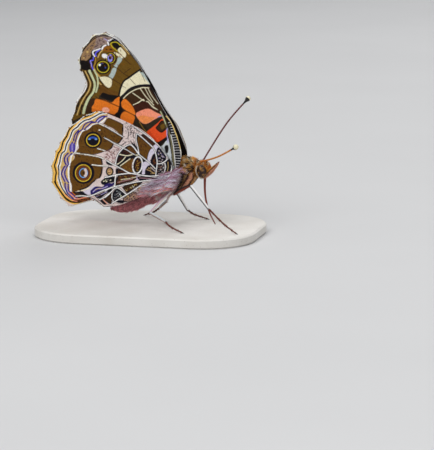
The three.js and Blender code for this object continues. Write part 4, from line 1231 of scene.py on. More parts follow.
@dataclass(frozen=True)
class PictureView:
    """The camera: where it stands, where it looks, and how a point falls in the picture frame."""

    stand: Triple = (110.957, -398.647, 74.365)
    aim: Triple = (10.894, 2.686, 1.433)
    azimuth: float = 14.0
    elevation: float = 10.0
    distance: float = 420.0
    pixel: float = 0.17
    frame: tuple[int, int] = (434, 450)
    sensor: float = 36.0

    def axes(self) -> tuple[Points, Points, Points]:
        """The directions to the right, up and towards the camera."""
        az, el = math.radians(self.azimuth), math.radians(self.elevation)
        back = np.array([math.sin(az) * math.cos(el), -math.cos(az) * math.cos(el), math.sin(el)])
        right = np.array([math.cos(az), math.sin(az), 0.0])
        return right, np.cross(back, right), back

    def pixels(self, points: Points) -> Points:
        """Where points fall in the picture frame."""
        right, up, back = self.axes()
        seen = points - np.array(self.stand)
        scale = self.distance / -(seen @ back) / self.pixel
        return np.stack([self.frame[0] / 2 + seen @ right * scale, self.frame[1] / 2 - seen @ up * scale], 1)

    def place_camera(self) -> None:
        """Adds the camera and makes it the scene's own."""
        camera = bpy.data.cameras.new("camera")
        camera.sensor_width = self.sensor
        camera.lens = self.sensor * self.distance / (self.frame[1] * self.pixel)
        camera.clip_start = 0.01
        camera.clip_end = 20.0
        holder = bpy.data.objects.new("camera", camera)
        right, up, back = self.axes()
        turned = Matrix([list(row) for row in np.stack([right, up, back], 1)]).to_4x4()
        holder.matrix_world = Matrix.Translation([value * MM for value in self.stand]) @ turned
        bpy.context.scene.collection.objects.link(holder)
        bpy.context.scene.camera = holder


VIEW = PictureView()


class Number:
    """A number that comes out of a shader node, with the usual arithmetic."""

    def __init__(self, sheet: "Sheet", socket: bpy.types.NodeSocket) -> None:
        """Wraps an output socket of the sheet's node tree."""
        self.sheet = sheet
        self.socket = socket

    def maths(self, operation: str, first: "Term", second: "Term" = 0.0, clamp: bool = False) -> "Number":
        """A Math node.

        Args:
            operation: the node's operation.
            first: its first value.
            second: its second value.
            clamp: whether the result is held between 0 and 1.

        Returns:
            The node's result.
        """
        node = self.sheet.node("ShaderNodeMath", {0: first, 1: second}, operation=operation, use_clamp=clamp)
        return Number(self.sheet, node.outputs[0])

    def __add__(self, other: "Term") -> "Number":
        """The sum."""
        return self.maths("ADD", self, other)

    def __sub__(self, other: "Term") -> "Number":
        """The difference."""
        return self.maths("SUBTRACT", self, other)

    def __rsub__(self, other: "Term") -> "Number":
        """The difference from a plain value."""
        return self.maths("SUBTRACT", other, self)

    def __mul__(self, other: "Term") -> "Number":
        """The product."""
        return self.maths("MULTIPLY", self, other)

    __radd__ = __add__
    __rmul__ = __mul__

    def between(self, low: float, high: float) -> "Number":
        """0 below low, 1 above high and even in between."""
        return self.maths("MULTIPLY", self - low, 1 / (high - low), clamp=True)


Term = Union[Number, float]


class Sheet:
    """The node tree of one material."""

    def __init__(self, name: str) -> None:
        """Starts a material that has its shader and output."""
        self.material = bpy.data.materials.new(name)
        self.material.use_nodes = True
        self.shader = self.material.node_tree.nodes["Principled BSDF"]

    def node(self, kind: str, inputs: dict, **settings: object) -> bpy.types.Node:
        """Adds a node.

        Args:
            kind: the node's type.
            inputs: a number, colour, vector or wrapped socket for each input, by name or place.
            settings: the node's own properties.

        Returns:
            The new node.
        """
        made = self.material.node_tree.nodes.new(kind)
        for name, value in settings.items():
            setattr(made, name, value)
        for key, value in inputs.items():
            self.feed(made.inputs[key], value)
        return made

    def feed(self, socket: bpy.types.NodeSocket, value: object) -> None:
        """Links a wrapped or plain socket to an input, or sets the input to a constant."""
        if isinstance(value, Number):
            value = value.socket
        if isinstance(value, bpy.types.NodeSocket):
            self.material.node_tree.links.new(value, socket)
        else:
            socket.default_value = value

    def place(self, stretch: Triple = (1, 1, 1)) -> bpy.types.NodeSocket:
        """Object coordinates in millimetres, stretched along each axis."""
        coordinates = self.node("ShaderNodeTexCoord", {}).outputs["Object"]
        scale = [value / MM for value in stretch]
        return self.node("ShaderNodeMapping", {"Vector": coordinates, "Scale": scale}).outputs[0]

    def clouds(self, scale: float, detail: float = 3.0, stretch: Triple = (1, 1, 1)) -> Number:
        """Smooth noise with scale features to the millimetre."""
        inputs = {"Vector": self.place(stretch), "Scale": scale, "Detail": detail}
        return Number(self, self.node("ShaderNodeTexNoise", inputs).outputs[0])

    def cells(self, scale: float, stretch: Triple = (1, 1, 1)) -> Number:
        """The distance from the middle of the nearest of many small cells, scale to the millimetre."""
        inputs = {"Vector": self.place(stretch), "Scale": scale}
        return Number(self, self.node("ShaderNodeTexVoronoi", inputs).outputs["Distance"])

    def shaded(self, light: Number) -> bpy.types.NodeSocket:
        """The colour that the piece's own markings give, times a lightness."""
        grey = self.node("ShaderNodeCombineColor", {0: light, 1: light, 2: light}).outputs[0]
        marks = self.node("ShaderNodeAttribute", {}, attribute_name=MARKINGS).outputs["Color"]
        return self.blend(1.0, marks, grey, "MULTIPLY")

    def blend(self, share: Term, first: object, second: object, how: str = "MIX") -> bpy.types.NodeSocket:
        """Two colours mixed.

        Args:
            share: how much of the second.
            first: a colour or a colour socket.
            second: a colour or a colour socket.
            how: the kind of mix.

        Returns:
            The colour socket.
        """
        mix = self.node("ShaderNodeMix", {}, data_type="RGBA", blend_type=how, clamp_result=True)
        sockets = [s for s in mix.inputs if s.enabled and not s.is_unavailable]
        for socket, value in zip(sockets, (share, first, second)):
            self.feed(socket, value)
        return next(s for s in mix.outputs if s.enabled and not s.is_unavailable)

    def relief(self, height: Number, depth: float) -> None:
        """Bumps the surface by a height, depth millimetres from 0 to 1."""
        bump = self.node("ShaderNodeBump", {"Height": height, "Distance": depth * MM, "Strength": 1.0})
        self.feed(self.shader.inputs["Normal"], bump.outputs[0])

    def set(self, **values: object) -> None:
        """Sets inputs of the shader, their names written with _ for a space."""
        for name, value in values.items():
            self.feed(self.shader.inputs[name.replace("_", " ")], value)


def rgba(tint: Tint, share: float = 1.0) -> tuple[float, float, float, float]:
    """A tint as a colour for a socket, made darker by a share."""
    return (*(float(value) * share for value in tint.rgb()), 1.0)


@dataclass(frozen=True)
class ScaleFinish:
    """Fine overlapping scales that carry the piece's markings."""

    name: str = "wing_scales"
    scale_size: float = 0.11
    depth: float = 0.02
    roughness: float = 0.72
    mottle: float = 0.3

    def material(self) -> bpy.types.Material:
        """The material."""
        sheet = Sheet(self.name)
        grain = sheet.clouds(1.6 / self.scale_size, 2.0)
        rows = sheet.cells(1 / self.scale_size, (1.0, 1.0, 0.55))
        broad = sheet.clouds(0.5, 3.0)
        light = 1 - self.mottle / 2 + self.mottle * (0.6 * grain + 0.4 * broad)
        sheet.set(
            Base_Color=sheet.shaded(light),
            Roughness=self.roughness + 0.2 * (rows - 0.5),
            Specular_IOR_Level=0.1,
        )
        sheet.relief(0.7 * rows + 0.3 * grain, self.depth)
        return sheet.material


@dataclass(frozen=True)
class HairFinish:
    """Hair and bristles, each with its own tint, with fine streaks."""

    name: str = "hair"
    roughness: float = 0.55
    sheen: float = 0.08

    def material(self) -> bpy.types.Material:
        """The material."""
        sheet = Sheet(self.name)
        streaks = sheet.clouds(9.0, 2.0)
        light = 0.8 + 0.5 * streaks
        sheet.set(
            Base_Color=sheet.shaded(light),
            Roughness=self.roughness + 0.2 * streaks,
            Sheen_Weight=self.sheen,
            Sheen_Roughness=0.4,
            Specular_IOR_Level=0.2,
        )
        sheet.relief(streaks, 0.01)
        return sheet.material


@dataclass(frozen=True)
class SkinFinish:
    """The skin under the coat: darker than the hair, leathery and finely wrinkled."""

    name: str = "skin"
    darker: float = 0.55

    def material(self) -> bpy.types.Material:
        """The material."""
        sheet = Sheet(self.name)
        wrinkles = sheet.clouds(5.0, 4.0)
        pores = sheet.cells(9.0)
        light = self.darker * (0.8 + 0.4 * wrinkles)
        sheet.set(
            Base_Color=sheet.shaded(light),
            Roughness=0.6 + 0.3 * wrinkles,
            Specular_IOR_Level=0.3,
        )
        sheet.relief(0.6 * wrinkles + 0.4 * pores, 0.03)
        return sheet.material


@dataclass(frozen=True)
class EyeFinish:
    """A compound eye: fine facets under gloss, dark brown with paler golden mottling."""

    name: str = "compound_eye"
    facet: float = 0.055

    def material(self) -> bpy.types.Material:
        """The material."""
        sheet = Sheet(self.name)
        facets = sheet.cells(1 / self.facet)
        mottling = sheet.clouds(2.1, 3.0, (1.0, 1.0, 0.7)).between(0.47, 0.66)
        rims = facets.between(0.3, 0.75)
        base = sheet.blend(mottling, rgba(Tint.CHESTNUT, 0.7), rgba(Tint.GOLD, 0.85))
        sheet.set(
            Base_Color=sheet.blend(0.75 * rims, base, rgba(Tint.BLACK)),
            Roughness=0.2 + 0.25 * rims,
            Coat_Weight=0.2,
            Coat_Roughness=0.1,
            Specular_IOR_Level=0.25,
        )
        sheet.relief(1 - facets, 0.012)
        return sheet.material


@dataclass(frozen=True)
class HornFinish:
    """Smooth horn with its own markings: feelers, tongue, legs and claws."""

    name: str = "horn"
    roughness: float = 0.38
    grain: float = 14.0

    def material(self) -> bpy.types.Material:
        """The material."""
        sheet = Sheet(self.name)
        grain = sheet.clouds(self.grain, 3.0)
        light = 0.78 + 0.44 * grain
        sheet.set(
            Base_Color=sheet.shaded(light),
            Roughness=self.roughness + 0.3 * grain,
            Specular_IOR_Level=0.45,
        )
        sheet.relief(grain, 0.012)
        return sheet.material


@dataclass(frozen=True)
class PlateFinish:
    """The stand's plate: honed pale stone, faintly clouded and speckled."""

    name: str = "stand_plate"

    def material(self) -> bpy.types.Material:
        """The material."""
        sheet = Sheet(self.name)
        cloud = sheet.clouds(0.16, 5.0)
        specks = sheet.cells(1.5).between(0.06, 0.16)
        tone = sheet.blend(cloud.between(0.3, 0.72), (0.64, 0.61, 0.56, 1), (0.76, 0.74, 0.7, 1))
        sheet.set(
            Base_Color=sheet.blend(0.8 * specks + 0.2, (0.5, 0.46, 0.41, 1), tone),
            Roughness=0.42 + 0.2 * cloud,
            Specular_IOR_Level=0.4,
        )
        sheet.relief(sheet.clouds(3.0, 3.0), 0.01)
        return sheet.material


@dataclass(frozen=True)
class FloorFinish:
    """The plain pale floor."""

    name: str = "floor"

    def material(self) -> bpy.types.Material:
        """The material."""
        sheet = Sheet(self.name)
        cloud = sheet.clouds(0.02, 2.0)
        sheet.set(Base_Color=sheet.blend(cloud, (0.56, 0.56, 0.56, 1), (0.6, 0.6, 0.6, 1)), Roughness=0.7)
        return sheet.material


def deselect_all() -> None:
    """Leaves nothing selected, so that an operator acts on the new piece alone."""
    bpy.ops.object.select_all(action="DESELECT")


def points_of(piece: bpy.types.Object) -> Points:
    """A piece's vertices in millimetres."""
    flat = np.empty(3 * len(piece.data.vertices))
    piece.data.vertices.foreach_get("co", flat)
    return flat.reshape(-1, 3) / MM


def move_points(piece: bpy.types.Object, points: Points) -> None:
    """Puts a piece's vertices at points in millimetres."""
    piece.data.vertices.foreach_set("co", (points * MM).astype(np.float32).ravel())
    piece.data.update()


def normals_of(piece: bpy.types.Object) -> Points:
    """A piece's vertex normals."""
    flat = np.empty(3 * len(piece.data.vertices))
    piece.data.vertex_normals.foreach_get("vector", flat)
    return flat.reshape(-1, 3)


def dress(piece: bpy.types.Object, material: bpy.types.Material, colours: Optional[Points] = None) -> None:
    """Gives a piece its material and, where it has markings, the colour of each vertex.

    Args:
        piece: the piece.
        material: its only material.
        colours: a linear colour for each vertex, or nothing for a piece without markings.
    """
    piece.data.materials.clear()
    piece.data.materials.append(material)
    piece.data.polygons.foreach_set("use_smooth", [True] * len(piece.data.polygons))
    if colours is not None:
        layer = piece.data.color_attributes.new(MARKINGS, "FLOAT_COLOR", "POINT")
        full = np.concatenate([colours, np.ones((len(colours), 1))], 1)
        layer.data.foreach_set("color", full.astype(np.float32).ravel())


def settle(piece: bpy.types.Object, slot: str, *nodes: str) -> bpy.types.Object:
    """Fixes a piece to the body and reports it.

    Args:
        piece: the piece.
        slot: its material slot in the record; not used.
        nodes: the solid nodes that it stands for.

    Returns:
        The same piece.
    """
    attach(piece, BODY)
    if nodes:
        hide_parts(*nodes)
    faces = sum(len(face.vertices) - 2 for face in piece.data.polygons)
    log.info("%s: %d triangles", piece.name, faces)
    return piece


def grid_piece(name: str, across: int, along: int) -> bpy.types.Object:
    """A grid primitive over the unit square, with its own flat map.

    Args:
        name: the piece's name.
        across: faces along X.
        along: faces along Y.

    Returns:
        The piece.
    """
    deselect_all()
    bpy.ops.mesh.primitive_grid_add(x_subdivisions=across, y_subdivisions=along, size=1, location=(0, 0, 0))
    piece = bpy.context.object
    piece.name = piece.data.name = name
    piece.data.uv_layers[0].name = BAKE_MAP
    move_points(piece, points_of(piece) * MM + [0.5, 0.5, 0])
    return piece


def wrapped(name: str, form: "Form", around: int, along: int) -> bpy.types.Object:
    """A closed piece: a grid wrapped round a form, with its seam and its poles closed.

    Args:
        name: the piece's name.
        form: the form that it takes.
        around: faces round it.
        along: faces along it.

    Returns:
        The piece, which keeps the grid's flat map as its unwrap.
    """
    piece = grid_piece(name, around, along)
    flat = points_of(piece)
    move_points(piece, form.place(flat[:, 0], flat[:, 1]))
    bpy.ops.object.mode_set(mode="EDIT")
    bpy.ops.mesh.select_all(action="SELECT")
    bpy.ops.mesh.remove_doubles(threshold=1e-7)
    bpy.ops.mesh.normals_make_consistent(inside=False)
    bpy.ops.object.mode_set(mode="OBJECT")
    return piece


class Form:
    """A closed shape given by two shares: u round it and v along it."""

    def place(self, u: Points, v: Points) -> Points:
        """The point of the shape for each pair of shares."""
        raise NotImplementedError

    def feel(self, u: Points, v: Points) -> tuple[Points, Points, Points]:
        """What the surface is like at pairs of shares.

        Args:
            u: shares round it.
            v: shares along it.

        Returns:
            The points, the outward normals, and the directions along the shape.
        """
        step = 2e-3
        along = self.place(u, np.minimum(v + step, 1)) - self.place(u, np.maximum(v - step, 0))
        round_it = self.place(u + step, v) - self.place(u - step, v)
        return self.place(u, v), unit(np.cross(round_it, along)), unit(along)

    def roots(self, count: int, rng: np.random.Generator, want: Painter) -> tuple[Points, Points]:
        """Shares spread evenly over the surface.

        Args:
            count: how many.
            rng: the seeded source of chance.
            want: how densely each point is covered, from 0 to 1.

        Returns:
            The shares u and v.
        """
        tries = max(12 * count, 80000)
        u, v = rng.random(tries), 0.01 + 0.98 * rng.random(tries)
        step = 2e-3
        along = self.place(u, v + step) - self.place(u, v - step)
        round_it = self.place(u + step, v) - self.place(u - step, v)
        area = np.linalg.norm(np.cross(round_it, along), axis=1) * np.clip(want(self.place(u, v)), 0, 1)
        picked = rng.choice(len(u), count, replace=False, p=area / area.sum())
        return u[picked], v[picked]


@dataclass(frozen=True)
class Tube(Form):
    """A round or oval form along a bent line, with rounded ends.

    The stations are rows of x, y, z, half width and half height. The height lies at right angles to side.
    """

    stations: tuple[tuple[float, ...], ...]
    side: Triple = (0.0, 1.0, 0.0)
    cap: float = 0.03
    ripple: float = 0.0
    ripples: int = 0

    def place(self, u: Points, v: Points) -> Points:
        """The point of the tube for each pair of shares.

        Args:
            u: shares round it.
            v: shares along it.

        Returns:
            One point for each pair.
        """
        rows = np.array(self.stations)
        v = np.clip(v, 0, 1)
        here = spline(rows, v)
        step = 1e-3
        line = rows[:, :3]
        along = unit(spline(line, np.minimum(v + step, 1)) - spline(line, np.maximum(v - step, 0)))
        up = unit(np.cross(along, np.array(self.side)))
        across = np.cross(up, along)
        near_end = np.clip(np.minimum(v, 1 - v) / self.cap, 0, 1)
        size = np.sqrt(np.clip(1 - (1 - near_end) ** 2, 0, 1))
        if self.ripples:
            phase = v * self.ripples
            size = size * (1 + self.ripple * (phase - np.floor(phase)) ** 2)
        angle = 2 * np.pi * u
        wide = (size * here[:, 3] * np.cos(angle))[:, None]
        high = (size * here[:, 4] * np.sin(angle))[:, None]
        return here[:, :3] + across * wide + up * high


@dataclass(frozen=True)
class Egg(Form):
    """An egg shape, tilted about the part's Y axis."""

    centre: Triple
    radii: Triple
    pitch: float = 0.0

    def place(self, u: Points, v: Points) -> Points:
        """The point of the egg for each pair of shares."""
        turn, rise = 2 * np.pi * u, np.pi * (v - 0.5)
        x = self.radii[0] * np.cos(rise) * np.cos(turn)
        y = self.radii[1] * np.cos(rise) * np.sin(turn)
        z = self.radii[2] * np.sin(rise)
        c, s = math.cos(self.pitch), math.sin(self.pitch)
        return np.array(self.centre) + np.stack([c * x + s * z, y, c * z - s * x], 1)


@dataclass
class Tufts:
    """Thin tapered locks of hair or scales, gathered into joined meshes.

    Every list holds one value or row for each tuft.
    """

    roots: Points
    ways: Points
    lifts: Points
    lengths: Points
    widths: Points
    colours: Points
    maps: Points
    sag: float = 0.25
    flatness: float = 0.45
    sink: float = 0.06
    # Each tuft is darker at its root and lighter at its tip: painted shade down in the coat and painted light
    # on the tips.
    tip_painted_light: float = 1.2
    root_painted_shade: float = 0.75

    SHARES = (0.0, 0.4, 0.75, 1.0)
    GIRTHS = (0.8, 1.0, 0.7, 0.0)
    SIDES = 3
    PATCH = 0.003

    def meshes(self, name: str, most: int = 11500) -> list[bpy.types.Object]:
        """The joined meshes, each of at most so many tufts."""
        parts = -(-len(self.roots) // most)
        return [self.mesh(f"{name}_{k + 1}", slice(k, None, parts)) for k in range(parts)]

    def mesh(self, name: str, chosen: slice) -> bpy.types.Object:
        """One joined mesh of the chosen tufts.

        Args:
            name: the mesh's name.
            chosen: which of the tufts it holds.

        Returns:
            The piece, with its colours and its map.
        """
        roots, ways, lifts = self.roots[chosen], unit(self.ways[chosen]), unit(self.lifts[chosen])
        lengths, widths = self.lengths[chosen][:, None], self.widths[chosen][:, None]
        across = unit(np.cross(ways, lifts))
        rings = []
        for share, girth in zip(self.SHARES, self.GIRTHS):
            bend = -self.sag * share**2 * lifts
            middle = roots - self.sink * lifts * (1 - share) + lengths * (share * ways + bend)
            if girth == 0:
                rings.append(middle[:, None])
                continue
            for side in range(self.SIDES):
                angle = 2 * math.pi * side / self.SIDES + math.pi / 2
                out = across * math.cos(angle) + lifts * math.sin(angle) * self.flatness
                rings.append((middle + widths * girth / 2 * out)[:, None])
        points = np.concatenate(rings, 1)
        size, sides = points.shape[1], self.SIDES
        faces = [(0, 2, 1)]
        for ring in range(len(self.SHARES) - 2):
            low, high = ring * sides, (ring + 1) * sides
            for side in range(sides):
                after = (side + 1) % sides
                faces += [(low + side, low + after, high + after), (low + side, high + after, high + side)]
        last = (len(self.SHARES) - 2) * sides
        faces += [(last + side, last + (side + 1) % sides, size - 1) for side in range(sides)]
        index = (np.array(faces)[None] + size * np.arange(len(points))[:, None, None]).reshape(-1, 3)
        piece = piece_of(name, points.reshape(-1, 3), index)
        share = np.array([s for s, g in zip(self.SHARES, self.GIRTHS) for _ in range(sides if g else 1)])
        # Painted shade at the root and painted light at the tip of every tuft.
        light = self.root_painted_shade + (self.tip_painted_light - self.root_painted_shade) * share
        tones = np.clip(self.colours[chosen][:, None] * light[None, :, None], 0, 1)
        spread = np.stack([share, np.tile(np.arange(sides) / sides, size)[:size]], 1) * self.PATCH
        maps = (self.maps[chosen][:, None] + spread[None]).reshape(-1, 2)
        layer = piece.data.uv_layers.new(name=BAKE_MAP)
        layer.data.foreach_set("uv", maps[index.ravel()].astype(np.float32).ravel())
        dress(piece, FINISHES.hair, tones.reshape(-1, 3))
        return piece


def piece_of(name: str, points: Points, triangles: Points) -> bpy.types.Object:
    """A piece from points and triangles that face outwards.

    Args:
        name: the piece's name.
        points: its vertices in millimetres.
        triangles: three vertex numbers for each face.

    Returns:
        The piece.
    """
    mesh = bpy.data.meshes.new(name)
    mesh.vertices.add(len(points))
    mesh.vertices.foreach_set("co", (points * MM).astype(np.float32).ravel())
    mesh.loops.add(3 * len(triangles))
    mesh.loops.foreach_set("vertex_index", triangles.astype(np.int32).ravel())
    mesh.polygons.add(len(triangles))
    mesh.polygons.foreach_set("loop_start", np.arange(0, 3 * len(triangles), 3, dtype=np.int32))
    mesh.update(calc_edges=True)
    mesh.validate()
    piece = bpy.data.objects.new(name, mesh)
    bpy.context.scene.collection.objects.link(piece)
    return piece


class FinishBook:
    """The materials, each made once."""

    def __init__(self) -> None:
        """Makes every material."""
        self.scales = ScaleFinish().material()
        self.hair = HairFinish().material()
        self.skin = SkinFinish().material()
        self.eye = EyeFinish().material()
        self.horn = HornFinish().material()
        self.limb = HornFinish("limb", 0.55, 9.0).material()
        self.plate = PlateFinish().material()
        self.floor = FloorFinish().material()


FINISHES = FinishBook()


def marked(points: Points, ground: Union[Tint, Points], marks: tuple[Mark, ...]) -> Points:
    """Colours at points, the same on both sides.

    Args:
        points: where, in millimetres.
        ground: the tint under the marks, or a linear colour for each point.
        marks: what is laid over it.

    Returns:
        A linear colour for each point.
    """
    colours = ground.painted(points) if isinstance(ground, Tint) else ground
    near = np.stack([points[:, 0], -np.abs(points[:, 1]), points[:, 2]], 1)
    pixels = ENLARGED * VIEW.pixels(near)
    for mark in marks:
        mark.lay(pixels, colours)
    return colours


# The middle line of the body in side view, from the tail to the head, round which the closed wings part
MIDDLE_LINE = (
    (-6.5, 4.1), (-5.7, 4.35), (-4.4, 4.8), (-2.8, 5.4), (-1.2, 6.2), (0.4, 6.8), (2.2, 7.5),
    (3.0, 8.3), (3.9, 9.25), (4.9, 10.2), (5.9, 11.0), (6.8, 11.55), (7.5, 11.85),
)


@dataclass(frozen=True)
class Flare:
    """How the closed wings part around the body."""

    thorax: float = 1.75
    abdomen: float = 0.75
    reach: float = 7.5
    fall: float = 1.5

    def at(self, flat: Points) -> Points:
        """How much further out a wing lies at places in side view."""
        share = np.clip((flat[:, 0] + 2) / 5, 0, 1)
        amount = self.abdomen + (self.thorax - self.abdomen) * share**2 * (3 - 2 * share)
        return amount * np.exp(-((away(flat, np.array(MIDDLE_LINE)) / self.reach) ** self.fall))


@dataclass(frozen=True)
class WingLine:
    """One line of a wing, measured from the root, and the share of it at which its vein begins."""

    start: float
    route: str

    def drawn(self, first: float = 0.0) -> Points:
        """The smooth line from a share of its length on."""
        fine = spline(traced(self.route), np.linspace(0, 1, 120))
        return even(fine, np.linspace(first, 1, 60))


@dataclass
class Wing:
    """A wing: a thin sheet of scales on veins, marked on both sides and fringed along its margin."""

    name: str
    root: tuple[float, float]
    centre: float
    start: float
    cell_end: float
    scallop: float
    lines: tuple[WingLine, ...]
    ground: Tint
    under: tuple[Mark, ...]
    upper_ground: Tint
    upper: tuple[Mark, ...]
    step: float = 0.085
    thickness: float = 0.12
    vein_raise: float = 0.07
    vein_width: float = 0.16
    fringe_length: float = 0.3
    flare: Flare = field(default_factory=Flare)

    def margin(self) -> Points:
        """The outer margin from the front line to the inner one, with a bay between each two veins."""
        ends = np.array([line.drawn()[-1] for line in self.lines])
        stations = [ends[0]]
        for before, after in zip(ends[:-1], ends[1:]):
            middle = (before + after) / 2
            stations += [middle * (1 - self.scallop / np.linalg.norm(middle)), after]
        fine = spline(np.array(stations), np.linspace(0, 1, 24 * len(stations)))
        return fine + np.array(self.root)

    def outline(self) -> Points:
        """The whole outline in side view."""
        front = self.lines[0].drawn(self.start) + np.array(self.root)
        inner = self.lines[-1].drawn(self.start)[::-1] + np.array(self.root)
        return np.vstack([front[:-1], self.margin(), inner[1:]])

    def veins(self) -> list[Points]:
        """The veins' middle lines in side view, with the short one that closes the cell."""
        root = np.array(self.root)
        drawn = [line.drawn(max(line.start, self.start)) + root for line in self.lines if line.start < 1]
        return drawn + [np.array([line.drawn(self.cell_end)[0] + root for line in self.lines[2:7]])]

    def depth(self, flat: Points) -> Points:
        """How far from the plane of symmetry the sheet's middle lies."""
        return self.centre + self.flare.at(flat)

    def sheet(self, side: str, sign: int) -> bpy.types.Object:
        """The wing's sheet.

        Args:
            side: left or right.
            sign: 1 for the left side and -1 for the right.

        Returns:
            The piece, dressed and marked on both faces.
        """
        outline = self.outline()
        low, high = outline.min(0) - self.step, outline.max(0) + self.step
        count = np.ceil((high - low) / self.step).astype(int)
        piece = grid_piece(f"{self.name}_{side}_sheet", int(count[0]), int(count[1]))
        flat = low + points_of(piece)[:, :2] * (high - low)
        move_points(piece, np.stack([flat[:, 0], np.zeros(len(flat)), flat[:, 1]], 1))
        distance = away(flat, np.vstack([outline, outline[:1]]))
        outside = ~within(flat, outline) & (distance > 0.3 * self.step)
        self.trim(piece, outside)
        self.snap(piece, outline)
        flat = points_of(piece)[:, [0, 2]]
        middle = sign * self.depth(flat)
        move_points(piece, np.stack([flat[:, 0], middle, flat[:, 1]], 1))
        thick = piece.modifiers.new("thickness", "SOLIDIFY")
        thick.thickness = self.thickness * MM
        thick.offset = 0.0
        bpy.context.view_layer.objects.active = piece
        bpy.ops.object.modifier_apply(modifier=thick.name)
        self.finish_faces(piece, sign)
        return piece

    def trim(self, piece: bpy.types.Object, outside: Points) -> None:
        """Deletes the points outside the wing, and loose ends.

        Args:
            piece: the flat sheet.
            outside: whether each of its points goes.
        """
        mesh = piece.data
        mesh.polygons.foreach_set("select", [False] * len(mesh.polygons))
        mesh.edges.foreach_set("select", [False] * len(mesh.edges))
        mesh.vertices.foreach_set("select", outside)
        bpy.ops.object.mode_set(mode="EDIT")
        bpy.ops.mesh.select_mode(type="VERT")
        bpy.ops.mesh.delete(type="VERT")
        bpy.ops.mesh.select_all(action="SELECT")
        bpy.ops.mesh.delete_loose(use_verts=True, use_edges=True, use_faces=False)
        bpy.ops.object.mode_set(mode="OBJECT")

    def snap(self, piece: bpy.types.Object, outline: Points) -> None:
        """Moves the points of the sheet's border onto the outline.

        Args:
            piece: the flat sheet.
            outline: the wing's outline in side view.
        """
        mesh = piece.data
        edges = np.empty(len(mesh.loops), int)
        mesh.loops.foreach_get("edge_index", edges)
        ends = np.empty(2 * len(mesh.edges), int)
        mesh.edges.foreach_get("vertices", ends)
        border = np.unique(ends.reshape(-1, 2)[np.bincount(edges, minlength=len(mesh.edges)) == 1])
        points = points_of(piece)
        fine = even(np.vstack([outline, outline[:1]]), np.linspace(0, 1, 4000))
        for start in range(0, len(border), 400):
            some = border[start : start + 400]
            gaps = ((points[some][:, None, [0, 2]] - fine[None]) ** 2).sum(2)
            points[some[:, None], [0, 2]] = fine[gaps.argmin(1)]
        move_points(piece, points)

    def finish_faces(self, piece: bpy.types.Object, sign: int) -> None:
        """Raises the veins on the outer face and marks both faces.

        Args:
            piece: the sheet with its thickness.
            sign: 1 for the left side and -1 for the right.
        """
        points = points_of(piece)
        flat = points[:, [0, 2]]
        outer = sign * points[:, 1] > self.depth(flat)
        raised = np.zeros(len(points))
        for vein in self.veins():
            raised = np.maximum(raised, np.exp(-((away(flat, vein) / self.vein_width) ** 2)))
        points[outer, 1] += sign * self.vein_raise * raised[outer]
        move_points(piece, points)
        colours = marked(points, self.ground, self.under)
        colours[~outer] = marked(points, self.upper_ground, self.upper)[~outer]
        rng = np.random.default_rng(SEED)
        colours *= 1 + 0.1 * rng.standard_normal((len(colours), 1))
        self.unwrap(piece, flat, outer)
        dress(piece, FINISHES.scales, np.clip(colours, 0, 1))

    def unwrap(self, piece: bpy.types.Object, flat: Points, outer: Points) -> None:
        """Lays the outer face in the left half of the map and the inner one in the right half.

        Args:
            piece: the sheet.
            flat: its points in side view.
            outer: whether each point is on the outer face.
        """
        low, high = self.outline().min(0), self.outline().max(0)
        maps = (flat - low) / (high - low)
        maps = np.clip(maps, 0, 1) * [0.47, 0.96] + [0.015, 0.02]
        maps[~outer, 0] += 0.5
        verts = np.empty(len(piece.data.loops), int)
        piece.data.loops.foreach_get("vertex_index", verts)
        piece.data.uv_layers[BAKE_MAP].data.foreach_set("uv", maps[verts].astype(np.float32).ravel())

    def map_of(self, flat: Points) -> Points:
        """Where places in side view lie in the outer face's map."""
        low, high = self.outline().min(0), self.outline().max(0)
        return np.clip((flat - low) / (high - low), 0, 0.99) * [0.47, 0.96] + [0.015, 0.02]

    def fringe(self, side: str, sign: int, ticks: Tint, light: Tint) -> list[bpy.types.Object]:
        """The fringe of long scales along the margin, dark at the veins' ends and light between.

        Args:
            side: left or right.
            sign: 1 for the left side and -1 for the right.
            ticks: the colour at the veins' ends.
            light: the colour between them.

        Returns:
            The fringe's meshes.
        """
        rng = np.random.default_rng(SEED + 1)
        line = self.margin()
        count = int(np.linalg.norm(np.diff(line, axis=0), axis=1).sum() / 0.045)
        shares = np.linspace(0.005, 0.995, count)
        flat = even(line, shares)
        along = unit(even(line, np.minimum(shares + 0.004, 1)) - even(line, np.maximum(shares - 0.004, 0)))
        out = np.stack([-along[:, 1], along[:, 0]], 1)
        out *= np.sign((out * (flat - np.array(self.root))).sum(1, keepdims=True))
        ends = np.array([line.drawn()[-1] for line in self.lines if line.start < 1]) + np.array(self.root)
        near_end = np.linalg.norm(flat[:, None] - ends[None], axis=2).min(1)
        dark = near_end < 0.13
        tints = np.where(dark[:, None], ticks.rgb(), light.rgb())
        tints = tints * (1 + 0.12 * rng.standard_normal((count, 1)))
        out = unit(out + 0.18 * rng.standard_normal((count, 2)))
        level = sign * (self.depth(flat) + 0.03 * rng.standard_normal(count))
        held = flat - 0.12 * out
        roots = np.stack([held[:, 0], level, held[:, 1]], 1)
        tufts = Tufts(
            roots=roots,
            ways=np.stack([out[:, 0], 0.05 * rng.standard_normal(count), out[:, 1]], 1),
            lifts=np.tile([0.0, float(sign), 0.0], (count, 1)),
            lengths=self.fringe_length * (0.85 + 0.3 * rng.random(count)),
            widths=0.07 + 0.04 * rng.random(count),
            colours=np.clip(tints, 0, 1),
            maps=self.map_of(flat),
            sag=0.02,
            flatness=0.3,
            sink=0.0,
        )
        return tufts.meshes(f"{self.name}_{side}_fringe")

    def build(self) -> None:
        """Both wings of this pair with their fringes."""
        for side, sign in (("left", 1), ("right", -1)):
            node = f"{self.name}_{side}"
            settle(self.sheet(side, sign), "wing", node)
            for piece in self.fringe(side, sign, Tint.OCHREBROWN, Tint.WHITE):
                settle(piece, "wing", node)


